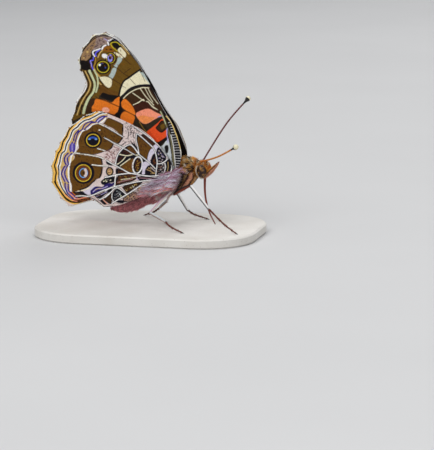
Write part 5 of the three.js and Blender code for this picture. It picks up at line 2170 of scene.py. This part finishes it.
FOREWING = Wing(
    name="forewing",
    root=(5.32, 11.02),
    centre=0.52,
    start=0.035,
    cell_end=0.45,
    scallop=0.12,
    lines=(
        WingLine(0, "0.2,0.2 0.55,3.1 -0.12,5.6 -1.05,7.75 -3.1,10.8 -6.8,17.2 -10.1,21.3 -11.6,22.4"),
        WingLine(0, "0,0.2 -0.3,3.6 -1.2,6.3 -2.4,8.9 -4.3,11.9 -7.8,17.2 -10.7,20.7 -13.2,22.9"),
        WingLine(0.4, "0,0 -0.9,3.9 -2.4,7.4 -4.5,10.2 -6.4,12.7 -9.5,16.8 -12.1,19.8 -15.1,22.5"),
        WingLine(0.45, "0,-0.1 -1.1,3.8 -2.7,7.1 -4.8,10 -6.9,12.3 -10.8,16.2 -13.4,18.4 -16.9,20.3"),
        WingLine(0.45, "-0.1,-0.1 -1.4,3.7 -3.3,6.9 -5.5,9.7 -7.8,11.5 -11.8,14.7 -14.4,16.4 -17.7,18.3"),
        WingLine(0.45, "-0.1,-0.2 -1.7,3.5 -4,6.5 -6.4,9.3 -8.7,10.9 -12.7,13.2 -14.8,14.6 -17.4,16.6"),
        WingLine(0, "-0.2,-0.3 -2.1,3.3 -4.7,6.1 -7.1,8.6 -9.4,10.1 -13.1,11.9 -14.8,12.9 -16.4,14.4"),
        WingLine(0.2, "-0.2,-0.4 -2.6,2.8 -5.2,5.3 -7.7,7.1 -9.9,8.2 -13.4,9.6 -15.4,10.2 -18.1,11.1"),
        WingLine(0, "-0.4,-0.6 -3,2.1 -5.8,4.1 -8.4,5.3 -10.7,6.1 -14,6.9 -16.3,7.3 -19,8.1"),
        WingLine(2, "-0.4,-0.9 -3,0.7 -5.8,2 -8.4,3.1 -10.8,3.9 -14,4.5 -16.3,4.7 -18.8,5.1"),
    ),
    ground=Tint.BLACKBROWN,
    under=FOREWING_UNDER,
    upper_ground=Tint.ORANGE,
    upper=FOREWING_UPPER,
)
HINDWING = Wing(
    name="hindwing",
    root=(4.16, 9.41),
    centre=1.55,
    start=0.04,
    cell_end=0.36,
    scallop=0.1,
    lines=(
        WingLine(0, "0.4,0.9 0.2,3.3 -2.4,6.45 -4.95,8.4 -7.8,9.75 -11.8,11.3"),
        WingLine(0, "0.2,0.5 -1.7,3.5 -3.8,5.7 -6,7.6 -8.3,9.2 -13.1,11.3"),
        WingLine(0, "0,0.2 -3.3,2.6 -5.9,4.6 -8.4,7.2 -11.7,8.8 -15.2,10.5"),
        WingLine(0.36, "0,0.1 -3.3,2.2 -6,4.2 -9.1,5.8 -11.9,7 -18,8.4"),
        WingLine(0.36, "0,0 -3.3,1.8 -6.6,3.2 -9.4,4.4 -11.9,5 -19.6,5.8"),
        WingLine(0.36, "0,-0.1 -3.3,1.5 -7,2.2 -9.6,3.2 -12.5,3.9 -20.4,4.3"),
        WingLine(0, "0,-0.2 -3,1.1 -7.3,1.1 -10.3,1.9 -14.2,2.2 -21.2,1.7"),
        WingLine(0.2, "0,-0.3 -2.9,0.7 -6.8,0.5 -10.3,0.3 -13.7,-0.4 -21.1,-1"),
        WingLine(0, "0,-0.5 -3.1,0.1 -6.8,-0.6 -10.2,-1.4 -13.9,-2.5 -19.6,-3.6"),
        WingLine(2, "-0.2,-0.7 -3.1,-0.4 -6.8,-1.3 -10.2,-2.5 -13,-3.6 -18,-4.9"),
        WingLine(0, "-0.4,-0.9 -3.6,-0.9 -7.6,-2.2 -10,-3.1 -12,-3.5 -13.7,-3.7"),
        WingLine(2, "-0.5,-1.6 -2.5,-1.8 -4.6,-2.6 -7.2,-3.7 -9.5,-4.5 -11.8,-4.8"),
    ),
    ground=Tint.PINKWHITE,
    under=HINDWING_UNDER,
    upper_ground=Tint.ORANGE,
    upper=HINDWING_UPPER,
)


@dataclass
class WingHair:
    """The soft hair at the hindwing's base, lying over the wing's outer face towards the tail."""

    count: int = 3400
    longest: float = 2.6
    shortest: float = 0.9
    area: str = "183,171 177,167 171,171 166,177 158,181 150,186 146,193 149,200 160,199 174,196 184,190"
    # Pixel rows over which more and more tufts take pale pink tints: a painted reflection of pink light from
    # below, which also lightens the shade there.
    reflected_pink: tuple[float, float] = (184.0, 197.0)
    turning: float = 163.0

    def places(self, rng: np.random.Generator) -> Points:
        """Chance places of the roots in side view, inside the hairy area."""
        spread = np.array([9.0, 5.0])
        flat = np.array(HINDWING.root) + spread * rng.uniform(-1, 1, (20 * self.count, 2)) - [4.0, 0.5]
        seen = np.stack([flat[:, 0], -HINDWING.depth(flat), flat[:, 1]], 1)
        inside = within(VIEW.pixels(seen), traced(self.area)) & within(flat, HINDWING.outline())
        return flat[inside][: self.count]

    def build(self) -> None:
        """The hair on both sides."""
        for side, sign in (("left", 1), ("right", -1)):
            rng = np.random.default_rng(SEED + 2)
            flat = self.places(rng)
            count = len(flat)
            level = HINDWING.depth(flat) + 0.5 * HINDWING.thickness
            pixels = VIEW.pixels(np.stack([flat[:, 0], -level, flat[:, 1]], 1))
            way = unit(np.array([[-1.0, -0.3]]) + 0.16 * rng.standard_normal((count, 2)))
            way[(pixels[:, 0] > self.turning) & (rng.random(count) < 0.75)] *= -1
            spread = 0.06 + 0.12 * rng.random(count)
            # Lower tufts take the pale pink tints more often: painted reflection of pink light from below,
            # and painted light against the shade.
            reflected_pink = np.clip((pixels[:, 1] - self.reflected_pink[0]) / (self.reflected_pink[1] - self.reflected_pink[0]), 0, 1)
            dark = tints_of(Tint.HEATHER, Tint.MAUVEDARK, Tint.TAUPEDARK, Tint.ASHLILAC)
            pale = tints_of(Tint.ROSE, Tint.MAUVE, Tint.SALMON, Tint.PINKWHITE)
            streak = 0.5 + 0.5 * np.sin(7.5 * (flat @ np.array([-0.3, 1.0])) + 1.5 * np.sin(2.1 * flat[:, 0]))
            choice = streak * 0.8 + 0.3 * rng.random(count) - 0.05
            kind = np.searchsorted([0.3, 0.48, 0.6], np.clip(choice, 0, 1))
            tints = np.where((rng.random(count) < reflected_pink)[:, None], pale[kind], dark[kind])
            tufts = Tufts(
                roots=np.stack([flat[:, 0], sign * level, flat[:, 1]], 1),
                ways=np.stack([way[:, 0], sign * spread, way[:, 1]], 1),
                lifts=np.tile([0.0, float(sign), 0.0], (count, 1)),
                lengths=self.shortest + (self.longest - self.shortest) * rng.random(count) ** 2,
                widths=0.05 + 0.05 * rng.random(count),
                colours=tints * (1 + 0.15 * rng.standard_normal((count, 1))),
                maps=HINDWING.map_of(flat),
                sag=0.1,
                sink=0.02,
            )
            for piece in tufts.meshes(f"hindwing_{side}_hair"):
                settle(piece, "wing", f"hindwing_{side}")


def everywhere(points: Points) -> Points:
    """The same density, 1, at all points."""
    return np.ones(len(points))


@dataclass
class Coat:
    """How hair lies on a form."""

    count: int
    length: tuple[float, float]
    width: tuple[float, float]
    lift: float
    ruffle: float = 0.2
    sag: float = 0.25
    flatness: float = 0.45
    toward_end: bool = True

    def grow(
        self,
        name: str,
        form: Form,
        paint: Painter,
        want: Painter = everywhere,
        lie: Optional[Callable[[Points, Points, Points], Points]] = None,
        seed: int = SEED,
    ) -> list[bpy.types.Object]:
        """Grows the hair.

        Args:
            name: what the joined meshes are called.
            form: the form that it grows on.
            paint: the linear colour at points.
            want: how densely points are covered, from 0 to 1.
            lie: which way the hair runs, from points, normals and directions along the form.
            seed: the start of the chance numbers.

        Returns:
            The joined meshes.
        """
        rng = np.random.default_rng(seed)
        u, v = form.roots(self.count, rng, want)
        points, normals, along = form.feel(u, v)
        ways = along if self.toward_end else -along
        if lie:
            ways = lie(points, normals, ways)
        ways = unit(ways - (ways * normals).sum(1, keepdims=True) * normals * 0.8)
        ways = ways + self.lift * normals + self.ruffle * rng.standard_normal(points.shape)
        low, high = self.length
        thin, thick = self.width
        tufts = Tufts(
            roots=points,
            ways=ways,
            lifts=normals,
            lengths=low + (high - low) * rng.random(len(points)),
            widths=thin + (thick - thin) * rng.random(len(points)),
            colours=paint(points) * (1 + 0.16 * rng.standard_normal((len(points), 1))),
            maps=np.stack([u % 1, v], 1) * 0.99,
            sag=self.sag,
            flatness=self.flatness,
        )
        return tufts.meshes(name)


@dataclass
class Trunk:
    """Thorax, abdomen and head under one skin, with their coat."""

    skin: Tube = Tube(
        stations=(
            (-6.8, 0, 4.0, 0.1, 0.12), (-6.5, 0, 4.1, 0.4, 0.5), (-5.7, 0, 4.35, 0.84, 1.0),
            (-4.4, 0, 4.8, 1.14, 1.3), (-2.8, 0, 5.4, 1.34, 1.43), (-1.2, 0, 6.2, 1.38, 1.36),
            (0.4, 0, 6.8, 1.33, 1.47), (1.7, 0, 7.25, 1.04, 1.3), (2.3, 0, 7.6, 1.02, 1.25),
            (3.0, 0, 8.3, 1.33, 1.8), (3.9, 0, 9.25, 1.63, 2.25), (4.9, 0, 10.2, 1.73, 2.4),
            (5.9, 0, 11.0, 1.68, 2.35), (6.8, 0, 11.55, 1.43, 1.95), (7.5, 0, 11.8, 1.02, 1.42),
            (7.95, 0, 11.72, 0.74, 1.08), (8.4, 0, 11.55, 0.95, 1.26), (8.95, 0, 11.35, 1.08, 1.36),
            (9.5, 0, 11.12, 0.98, 1.2), (9.95, 0, 10.95, 0.62, 0.78), (10.12, 0, 10.88, 0.3, 0.36),
        ),
        cap=0.012,
    )
    ring_step: float = 1.1

    def paint(self, points: Points) -> Points:
        """The colour of skin and coat.

        Args:
            points: where, in millimetres.

        Returns:
            A linear colour for each point.
        """
        x, y, z = points.T
        wave = 4.1 * x + 5.3 * z + 2.3 * np.sin(3.7 * z - 1.3 * x) + 3.1 * np.abs(y)
        locks = (0.5 + 0.5 * np.sin(wave))[:, None]
        pale = Tint.HEATHER.rgb() * (1 - locks) + Tint.MAUVE.rgb() * locks
        fleece = np.where(locks > 0.75, Tint.MAUVEDARK.rgb(), pale)
        tawny = Tint.FUR.rgb() * (1 - locks) + Tint.GOLD.rgb() * locks
        top = np.clip((z - 10.4 - 0.45 * (x - 4)) / 1.4, 0, 1)[:, None]
        fore = np.clip((x - 6.6) / 0.4, 0, 1)[:, None]
        colours = fleece * (1 - np.maximum(top, fore)) + tawny * np.maximum(top, fore)
        rear = np.clip((2.6 - x) / 1.4, 0, 1)[:, None]
        rings = (0.5 + 0.5 * np.sin((x + 6.5) * 2 * np.pi / self.ring_step))[:, None]
        height = np.clip((z - (4.0 + 0.35 * (x + 6.5))) / 1.6, 0, 1)[:, None]
        # Lower on the abdomen the hair turns rose: a painted reflection of pink light from below.
        reflected_pink = Tint.ROSE.rgb() * (1 - height) + Tint.HEATHER.rgb() * height
        above = np.clip(height * 2 - 1, 0, 1)
        dark = np.maximum(0.35 * rings * above, 0.55 * (locks > 0.7))
        abdomen = (reflected_pink * (1 - dark) + Tint.MAUVEDARK.rgb() * dark) * 0.85
        colours = colours * (1 - rear) + abdomen * rear
        return marked(points, colours, BODY_MARKS)

    def build(self) -> None:
        """The skin and the coat of trunk and head."""
        skin = wrapped("body_skin", self.skin, 96, 260)
        points = points_of(skin)
        rng = np.random.default_rng(SEED + 3)
        rear = np.clip((1.6 - points[:, 0]) / 0.8, 0, 1)
        fold = ((points[:, 0] + 6.8) / 1.05) % 1
        outward = normals_of(skin)
        points += outward * (0.03 * rear * (1 - fold) ** 2 - 0.02)[:, None]
        move_points(skin, points)
        dress(skin, FINISHES.skin, self.paint(points) * (1 + 0.05 * rng.standard_normal((len(points), 1))))
        settle(skin, "hair", "thorax", "abdomen", "head")
        for piece in self.coat():
            settle(piece, "hair", "thorax", "abdomen", "head")

    def coat(self) -> list[bpy.types.Object]:
        """The hair of the thorax, the scales of the abdomen and the short hair of the head."""

        def thorax(points: Points) -> Points:
            """How densely long hair covers points."""
            along = points[:, 0]
            sparse = 0.5 * np.clip((along + 4.5) / 3, 0, 1)
            dense = 0.5 * np.clip((along - 1.6) / 0.8, 0, 1)
            return (sparse + dense) * np.clip((8.1 - along) / 0.4, 0, 1)

        def abdomen(points: Points) -> Points:
            """How densely scales cover points."""
            return np.clip((2.4 - points[:, 0]) / 0.6, 0, 1)

        def tail_end(points: Points) -> Points:
            """How densely the tail's hair covers points."""
            return (points[:, 0] < -6.1) * 1.0

        def head(points: Points) -> Points:
            """How densely short hair covers points."""
            return np.clip((points[:, 0] - 7.8) / 0.3, 0, 1)

        def head_lie(points: Points, normals: Points, back: Points) -> Points:
            """The way that the head's hair lies: backward, but forward and up at the front."""
            front = np.clip((points[:, 0] - 9.0) / 0.7, 0, 1)[:, None]
            forward = unit(np.array([[0.75, 0.0, 0.5]])) + 0.5 * normals
            return unit(back * (1 - front) + forward * front)

        long_hair = Coat(20000, (0.45, 1.05), (0.045, 0.08), 0.32, 0.24, 0.28, toward_end=False)
        scales = Coat(13000, (0.24, 0.42), (0.09, 0.15), 0.1, 0.08, 0.1, 0.25, toward_end=False)
        tail = Coat(700, (0.5, 0.9), (0.05, 0.08), 0.1, 0.12, 0.2, toward_end=False)
        short_hair = Coat(9000, (0.25, 0.66), (0.035, 0.065), 0.5, 0.36, 0.2, toward_end=False)
        made = long_hair.grow("thorax_hair", self.skin, self.paint, want=thorax)
        made += scales.grow("abdomen_scales", self.skin, self.paint, want=abdomen, seed=SEED + 4)
        made += tail.grow("tail_hair", self.skin, self.paint, want=tail_end, seed=SEED + 5)
        made += short_hair.grow("head_hair", self.skin, self.paint, want=head, lie=head_lie, seed=SEED + 6)
        return made


@dataclass
class Face:
    """Eyes, palps, tongue and feelers."""

    eye: Egg = Egg((9.2, 1.2, 11.2), (0.84, 0.6, 1.15), -0.25)
    palp: tuple[tuple[float, ...], ...] = (
        (9.2, 0.62, 10.1, 0.3, 0.3), (10.0, 0.64, 10.65, 0.34, 0.34), (10.75, 0.6, 11.4, 0.29, 0.29),
        (11.3, 0.55, 12.0, 0.18, 0.18), (11.7, 0.52, 12.5, 0.07, 0.07),
    )
    tongue: Tube = Tube(
        stations=(
            (9.5, 0, 10.5, 0.26, 0.24), (9.45, 0, 8.9, 0.22, 0.2), (9.5, 0, 7.2, 0.19, 0.17),
            (9.8, 0, 5.4, 0.17, 0.15), (10.4, 0, 3.7, 0.14, 0.12), (11.3, 0, 2.0, 0.09, 0.08),
        ),
        cap=0.01,
    )

    def eyes(self) -> None:
        """The compound eyes, each with a rim of pale hair behind it."""
        for side, sign in (("left", 1), ("right", -1)):
            x, y, z = self.eye.centre
            form = Egg((x, sign * y, z), self.eye.radii, self.eye.pitch)
            globe = wrapped(f"eye_{side}_globe", form, 72, 48)
            dress(globe, FINISHES.eye)
            settle(globe, "eye", f"eye_{side}")
            for piece in self.rim(side, sign):
                settle(piece, "hair", f"eye_{side}")

    def rim(self, side: str, sign: int) -> list[bpy.types.Object]:
        """The pale hair round the back and the underside of an eye.

        Args:
            side: left or right.
            sign: 1 for the left side and -1 for the right.

        Returns:
            The rim's meshes.
        """
        rng = np.random.default_rng(SEED + 7)
        count = 420
        turn = np.radians(rng.uniform(118, 258, count))
        (x, y, z), (rx, ry, rz) = self.eye.centre, self.eye.radii
        spread = 1.0 + 0.05 * rng.random(count)
        flat = np.stack([np.cos(turn) * rx * spread, np.sin(turn) * rz * spread], 1)
        c, s = math.cos(self.eye.pitch), math.sin(self.eye.pitch)
        flat = np.stack([c * flat[:, 0] + s * flat[:, 1], c * flat[:, 1] - s * flat[:, 0]], 1)
        out = unit(flat)
        roots = np.stack([x + flat[:, 0], np.full(count, sign * (y - 0.05)), z + flat[:, 1]], 1)
        shades = tints_of(Tint.WHITE, Tint.CREAM, Tint.TAUPE)
        ways = np.stack([0.2 * out[:, 0] - 0.2, np.full(count, sign * 0.9), 0.2 * out[:, 1] - 0.2], 1)
        tufts = Tufts(
            roots=roots,
            ways=ways + 0.2 * rng.standard_normal((count, 3)),
            lifts=np.tile([0.0, float(sign), 0.0], (count, 1)),
            lengths=0.2 + 0.14 * rng.random(count),
            widths=0.03 + 0.02 * rng.random(count),
            colours=shades[rng.choice(3, count, p=(0.6, 0.25, 0.15))],
            maps=np.stack([turn / 7, spread - 0.6], 1),
            sag=0.1,
        )
        return tufts.meshes(f"eye_{side}_rim")

    def palps(self) -> None:
        """The palps, dark above and tan below, thick with scales and hair."""
        for side, sign in (("left", 1), ("right", -1)):
            form = Tube(tuple((x, sign * y, z, w, h) for x, y, z, w, h in self.palp), cap=0.06)
            skin = wrapped(f"palp_{side}_skin", form, 24, 40)

            def paint(points: Points) -> Points:
                """The palp's colours: tan above, dark in the middle and pale below."""
                rows = np.array(self.palp)
                height = (points[:, 2] - np.interp(points[:, 0], rows[:, 0], rows[:, 2])) / 0.33
                band = np.stack([-height * 3 + 0.2, 1.6 - 3 * np.abs(height - 0.3), height * 3 - 1.3], 1)
                shares = np.clip(band, 0.001, 1)
                shares /= shares.sum(1, keepdims=True)
                return shares @ tints_of(Tint.FLESH, Tint.UMBER, Tint.GOLD)

            points = points_of(skin)
            dress(skin, FINISHES.skin, paint(points))
            settle(skin, "hair", f"palp_{side}")
            coat = Coat(1500, (0.22, 0.5), (0.04, 0.07), 0.3, 0.15, 0.15)
            for piece in coat.grow(f"palp_{side}_hair", form, paint, seed=SEED + 8):
                settle(piece, "hair", f"palp_{side}")

    def feelers(self) -> None:
        """The feelers: ringed shafts that end in a dark club with a pale tip."""
        routes = {
            "left": ((9.0, 0.55, 12.75), (12.0, 5.1, 18.6), (15.09, 8.75, 22.73)),
            "right": ((9.05, -0.5, 12.75), (13.4, -6.6, 14.6), (17.75, -11.35, 17.1)),
        }
        for side, (root, bend, tip) in routes.items():
            shares = np.linspace(0, 1, 26)
            line = spline(np.array([root, bend, tip]), shares)
            line[0] -= 0.35 * unit(line[1] - line[0])
            club = np.exp(-(((shares - 0.945) / 0.055) ** 2))
            base = np.exp(-((shares / 0.015) ** 2))
            girth = 0.135 + 0.29 * club + 0.1 * base
            rows = tuple((*point, size, size) for point, size in zip(line, girth))
            form = Tube(rows, cap=0.015, ripple=0.16, ripples=46)
            piece = wrapped(f"antenna_{side}_feeler", form, 14, 46 * 6)
            points = points_of(piece)
            share = self.share_of(points, line)
            dress(piece, FINISHES.horn, self.feeler_tints(share, points, line, side))
            settle(piece, "horn", f"antenna_{side}")

    def share_of(self, points: Points, line: Points) -> Points:
        """How far along a line each point lies."""
        nearest = ((points[:, None] - line[None]) ** 2).sum(2).argmin(1)
        return nearest / (len(line) - 1)

    def feeler_tints(self, share: Points, points: Points, line: Points, side: str) -> Points:
        """The colours of a feeler along its length: pale rings between dark ones, then the club.

        Args:
            share: how far along the feeler each point lies.
            points: the points.
            line: the feeler's middle line.
            side: left or right.

        Returns:
            A linear colour for each point.
        """
        run = np.linalg.norm(points - line[0], axis=1)
        ring = (np.sin(run * 2 * np.pi / 0.42) > 0.7)[:, None]
        # The left feeler, on the side away from the camera, gets darker tints than the right one: painted
        # shade.
        shaft = Tint.ORANGE.rgb() * 0.65 if side == "right" else Tint.OXBLOOD.rgb()
        pale = (Tint.HONEY if side == "right" else Tint.MAUVEDARK).rgb() * 0.8
        colours = np.where(ring, pale, shaft)
        club = (share > 0.83)[:, None]
        tip = (share > 0.94)[:, None]
        colours = np.where(club, Tint.BLACK.rgb(), colours)
        return np.where(tip, Tint.CREAM.rgb(), colours)

    def build(self) -> None:
        """All of the face."""
        self.eyes()
        self.palps()
        self.feelers()
        tongue = wrapped("proboscis_tube", self.tongue, 16, 120)
        points = points_of(tongue)
        groove = (np.abs(points[:, 1]) < 0.04)[:, None]
        dress(tongue, FINISHES.horn, np.where(groove, Tint.BLACK.rgb(), Tint.REDBROWN.rgb() * 0.8))
        settle(tongue, "horn", "proboscis")


class Leg(Enum):
    """The walking legs: hip, knee, ankle, toe joint and foot of each."""

    MIDLEG_RIGHT = (
        (4.4, -1.2, 7.1), (8.22, -5.0, 9.32), (11.47, -5.6, 5.66), (14.2, -5.9, 3.2), (16.4, -6.2, 1.75)
    )
    HINDLEG_RIGHT = (
        (3.9, -1.1, 7.6), (0.95, -4.0, 4.2), (4.35, -6.6, 3.25), (5.4, -7.0, 2.5), (7.4, -7.5, 1.75)
    )
    MIDLEG_LEFT = (
        (5.0, 1.2, 7.9), (3.3, 4.8, 6.4), (4.9, 5.8, 3.3), (6.0, 6.1, 2.5), (8.2, 6.6, 1.75)
    )
    HINDLEG_LEFT = (
        (3.7, 1.1, 7.5), (1.6, 4.4, 4.9), (-0.2, 6.3, 3.4), (-1.4, 7.0, 2.5), (-3.2, 7.9, 1.75)
    )


@dataclass(frozen=True)
class Length:
    """One length of a walking leg: its girths at start, middle and end, its bow and its two tints."""

    part: str
    girths: Triple
    bow: float
    above: Tint
    below: Tint

    def form(self, start: Points, end: Points) -> Tube:
        """The length between two joints, bowed upwards.

        Args:
            start: its upper end.
            end: its lower end.

        Returns:
            The form.
        """
        middle = (start + end) / 2 + np.array([0, 0, self.bow])
        shares = np.linspace(0, 1, 9)
        line = spline(np.array([start, middle, end]), shares)
        sizes = np.interp(shares, [0, 0.5, 1], self.girths)
        sideways = abs(end[1] - start[1]) > 0.8 * np.linalg.norm(end - start)
        side = (1.0, 0.0, 0.0) if sideways else (0.0, 1.0, 0.0)
        return Tube(tuple((*p, r, r) for p, r in zip(line, sizes)), side=side, cap=0.03)

    def painter(self, form: Tube) -> Painter:
        """Colours that change from the upper side of the length to its lower one.

        Args:
            form: the length.

        Returns:
            What gives the colours of points.
        """
        line = spline(np.array(form.stations)[:, :3], np.linspace(0, 1, 40))
        line = line[np.argsort(line[:, 0])]

        def colour(points: Points) -> Points:
            """The colour at points."""
            height = points[:, 2] - np.interp(points[:, 0], line[:, 0], line[:, 2])
            share = np.clip(height / 0.3 + 0.5, 0, 1)[:, None]
            return self.below.rgb() * (1 - share) + self.above.rgb() * share

        return colour


@dataclass
class Legs:
    """The four walking legs and the two short folded forelegs."""

    foreleg: tuple[tuple[float, ...], ...] = (
        (7.3, 0.9, 10.9, 0.24, 0.24), (7.55, 1.75, 10.2, 0.36, 0.36), (7.05, 2.05, 9.35, 0.42, 0.42),
        (6.45, 2.05, 8.6, 0.36, 0.36), (6.0, 1.8, 8.0, 0.2, 0.2),
    )
    midleg: tuple[Length, Length] = (
        Length("femur", (0.24, 0.34, 0.2), 0.15, Tint.BLACK, Tint.REDBROWN),
        # The tibia's whitish upper side is a painted highlight along its black.
        Length("tibia", (0.22, 0.25, 0.2), 0.05, Tint.WHITISH, Tint.BLACK),
    )
    hindleg: tuple[Length, Length] = (
        Length("femur", (0.2, 0.24, 0.17), 0.15, Tint.HEATHER, Tint.BONE),
        Length("tibia", (0.22, 0.25, 0.2), 0.05, Tint.ASHEN, Tint.TAUPE),
    )
    tarsus: Triple = (0.13, 0.12, 0.09)

    def walking_leg(self, leg: Leg) -> None:
        """Builds one walking leg with its scales, spines and claws.

        Args:
            leg: which leg.
        """
        name = leg.name.lower()
        joints = np.array(leg.value)
        lengths = self.midleg if name.startswith("mid") else self.hindleg
        for plan, start, end in zip(lengths, joints[:-1], joints[1:]):
            form = plan.form(start, end)
            paint = plan.painter(form)
            piece = wrapped(f"{name}_{plan.part}_limb", form, 20, 48)
            dress(piece, FINISHES.limb, paint(points_of(piece)))
            settle(piece, "leg", f"{name}_{plan.part}")
            count = int(260 * np.linalg.norm(end - start))
            coat = Coat(count, (0.16, 0.34), (0.05, 0.09), 0.12, 0.08, 0.12, 0.3)
            for hair in coat.grow(f"{name}_{plan.part}_scales", form, paint, seed=SEED + 9):
                settle(hair, "leg", f"{name}_{plan.part}")
        self.foot(name, joints)

    def foot(self, name: str, joints: Points) -> None:
        """The jointed foot with its spines and two claws.

        Args:
            name: the leg's name.
            joints: the leg's joints, from the hip to the foot.
        """
        line = np.array([joints[2], joints[3], joints[4]])
        shares = np.linspace(0, 1, 22)
        points = spline(line, shares)
        sizes = np.interp(shares, [0, 0.5, 1], self.tarsus)
        form = Tube(tuple((*p, r, r) for p, r in zip(points, sizes)), cap=0.02, ripple=0.35, ripples=5)
        piece = wrapped(f"{name}_tarsus_foot", form, 16, 100)
        dress(piece, FINISHES.limb, 0.6 * Tint.REDBROWN.painted(piece.data.vertices))
        settle(piece, "leg", f"{name}_tarsus")
        spines = Coat(150, (0.18, 0.32), (0.03, 0.045), 0.7, 0.15, 0.0, 0.9)
        for hair in spines.grow(f"{name}_tarsus_spines", form, Tint.UMBER.painted, seed=SEED + 10):
            settle(hair, "leg", f"{name}_tarsus")
        way = unit(joints[4] - joints[3])
        side = unit(np.cross(way, [0, 0, 1.0]))
        for label, turn in (("a", 1), ("b", -1)):
            start = joints[4] - 0.05 * way
            rows = [
                (*start, 0.05, 0.05),
                (*(start + 0.22 * way + turn * 0.1 * side + [0, 0, 0.02]), 0.045, 0.045),
                (*(start + 0.4 * way + turn * 0.2 * side + [0, 0, -0.04]), 0.028, 0.028),
                (*(start + 0.5 * way + turn * 0.24 * side + [0, 0, -0.12]), 0.008, 0.008),
            ]
            claw = wrapped(f"{name}_claw_{label}", Tube(tuple(rows), cap=0.05), 8, 14)
            dress(claw, FINISHES.horn, Tint.BLACK.painted(claw.data.vertices))
            settle(claw, "leg", f"{name}_tarsus")

    def forelegs(self) -> None:
        """The folded forelegs, thick with soft hair."""
        for side, sign in (("left", 1), ("right", -1)):
            rows = tuple((x, sign * y, z, w, h) for x, y, z, w, h in self.foreleg)
            form = Tube(rows, cap=0.06)

            def paint(points: Points) -> Points:
                """The foreleg's colours: pale along its middle as a painted highlight, and dark at its edges.
                """
                stations = np.array(self.foreleg)[::-1]
                middle = np.interp(points[:, 2], stations[:, 2], stations[:, 0])
                edge = np.clip((np.abs(points[:, 0] - middle) - 0.26) / 0.1, 0, 1)[:, None]
                return Tint.FLESH.rgb() * (1 - edge) + Tint.UMBER.rgb() * edge

            piece = wrapped(f"foreleg_{side}_limb", form, 24, 48)
            dress(piece, FINISHES.skin, paint(points_of(piece)))
            settle(piece, "leg", f"foreleg_{side}")
            coat = Coat(2200, (0.25, 0.5), (0.04, 0.07), 0.25, 0.14, 0.2)
            for hair in coat.grow(f"foreleg_{side}_hair", form, paint, seed=SEED + 11):
                settle(hair, "leg", f"foreleg_{side}")

    def build(self) -> None:
        """Every leg."""
        for leg in Leg:
            self.walking_leg(leg)
        self.forelegs()


@dataclass(frozen=True)
class Softbox:
    """A soft light: where it hangs, its width and its power in watts."""

    name: str
    place: Triple
    width: float
    power: float


@dataclass
class Studio:
    """The pale floor and the soft lights. Places are in metres here."""

    lights: tuple[Softbox, ...] = (
        Softbox("key", (-0.25, -0.45, 0.5), 0.4, 2.9),
        Softbox("fill", (0.45, -0.35, 0.25), 0.4, 1.0),
        Softbox("top", (0.0, 0.1, 0.6), 0.5, 1.6),
        Softbox("back", (0.1, 0.5, 0.35), 0.4, 1.0),
    )
    floor_width: float = 6.0
    sky: float = 0.2

    def build(self) -> None:
        """The floor, the lights and the even light from all round."""
        floor = grid_piece("floor", 8, 8)
        move_points(floor, (points_of(floor) - [0.5, 0.5, 0]) * self.floor_width / MM)
        dress(floor, FINISHES.floor)
        for box in self.lights:
            lamp = bpy.data.lights.new(box.name, "AREA")
            lamp.size = box.width
            lamp.energy = box.power
            holder = bpy.data.objects.new(box.name, lamp)
            aim = unit(np.array([0.0, 0.0, 0.015]) - np.array(box.place))
            across = unit(np.cross(aim, [0.0, 0.0, 1.0])) if abs(aim[2]) < 0.99 else np.array([1.0, 0.0, 0.0])
            up = np.cross(across, aim)
            turned = Matrix([list(row) for row in np.stack([across, up, -aim], 1)]).to_4x4()
            holder.matrix_world = Matrix.Translation(box.place) @ turned
            bpy.context.scene.collection.objects.link(holder)
        bpy.context.scene.view_settings.view_transform = "Standard"
        world = bpy.data.worlds.new("studio")
        world.use_nodes = True
        world.node_tree.nodes["Background"].inputs["Color"].default_value = (0.9, 0.93, 1.0, 1.0)
        world.node_tree.nodes["Background"].inputs["Strength"].default_value = self.sky
        bpy.context.scene.world = world


@dataclass
class Stand:
    """The plate that the butterfly stands on: the CAD solid with a stone finish."""

    node: str = "stand_base"

    def build(self) -> None:
        """Dresses the plate."""
        plate = frame["nodes"][self.node]
        plate.data.materials.clear()
        plate.data.materials.append(FINISHES.plate)
        log.info("%s: stone finish", self.node)


def main() -> None:
    """Builds the butterfly part by part."""
    logging.basicConfig(level=logging.INFO, format="%(message)s")
    VIEW.place_camera()
    for part in (Studio(), Stand(), FOREWING, HINDWING, WingHair(), Trunk(), Face(), Legs()):
        part.build()
        log.info("%s is built", type(part).__name__)
    deselect_all()


if __name__ == "__main__":
    main()
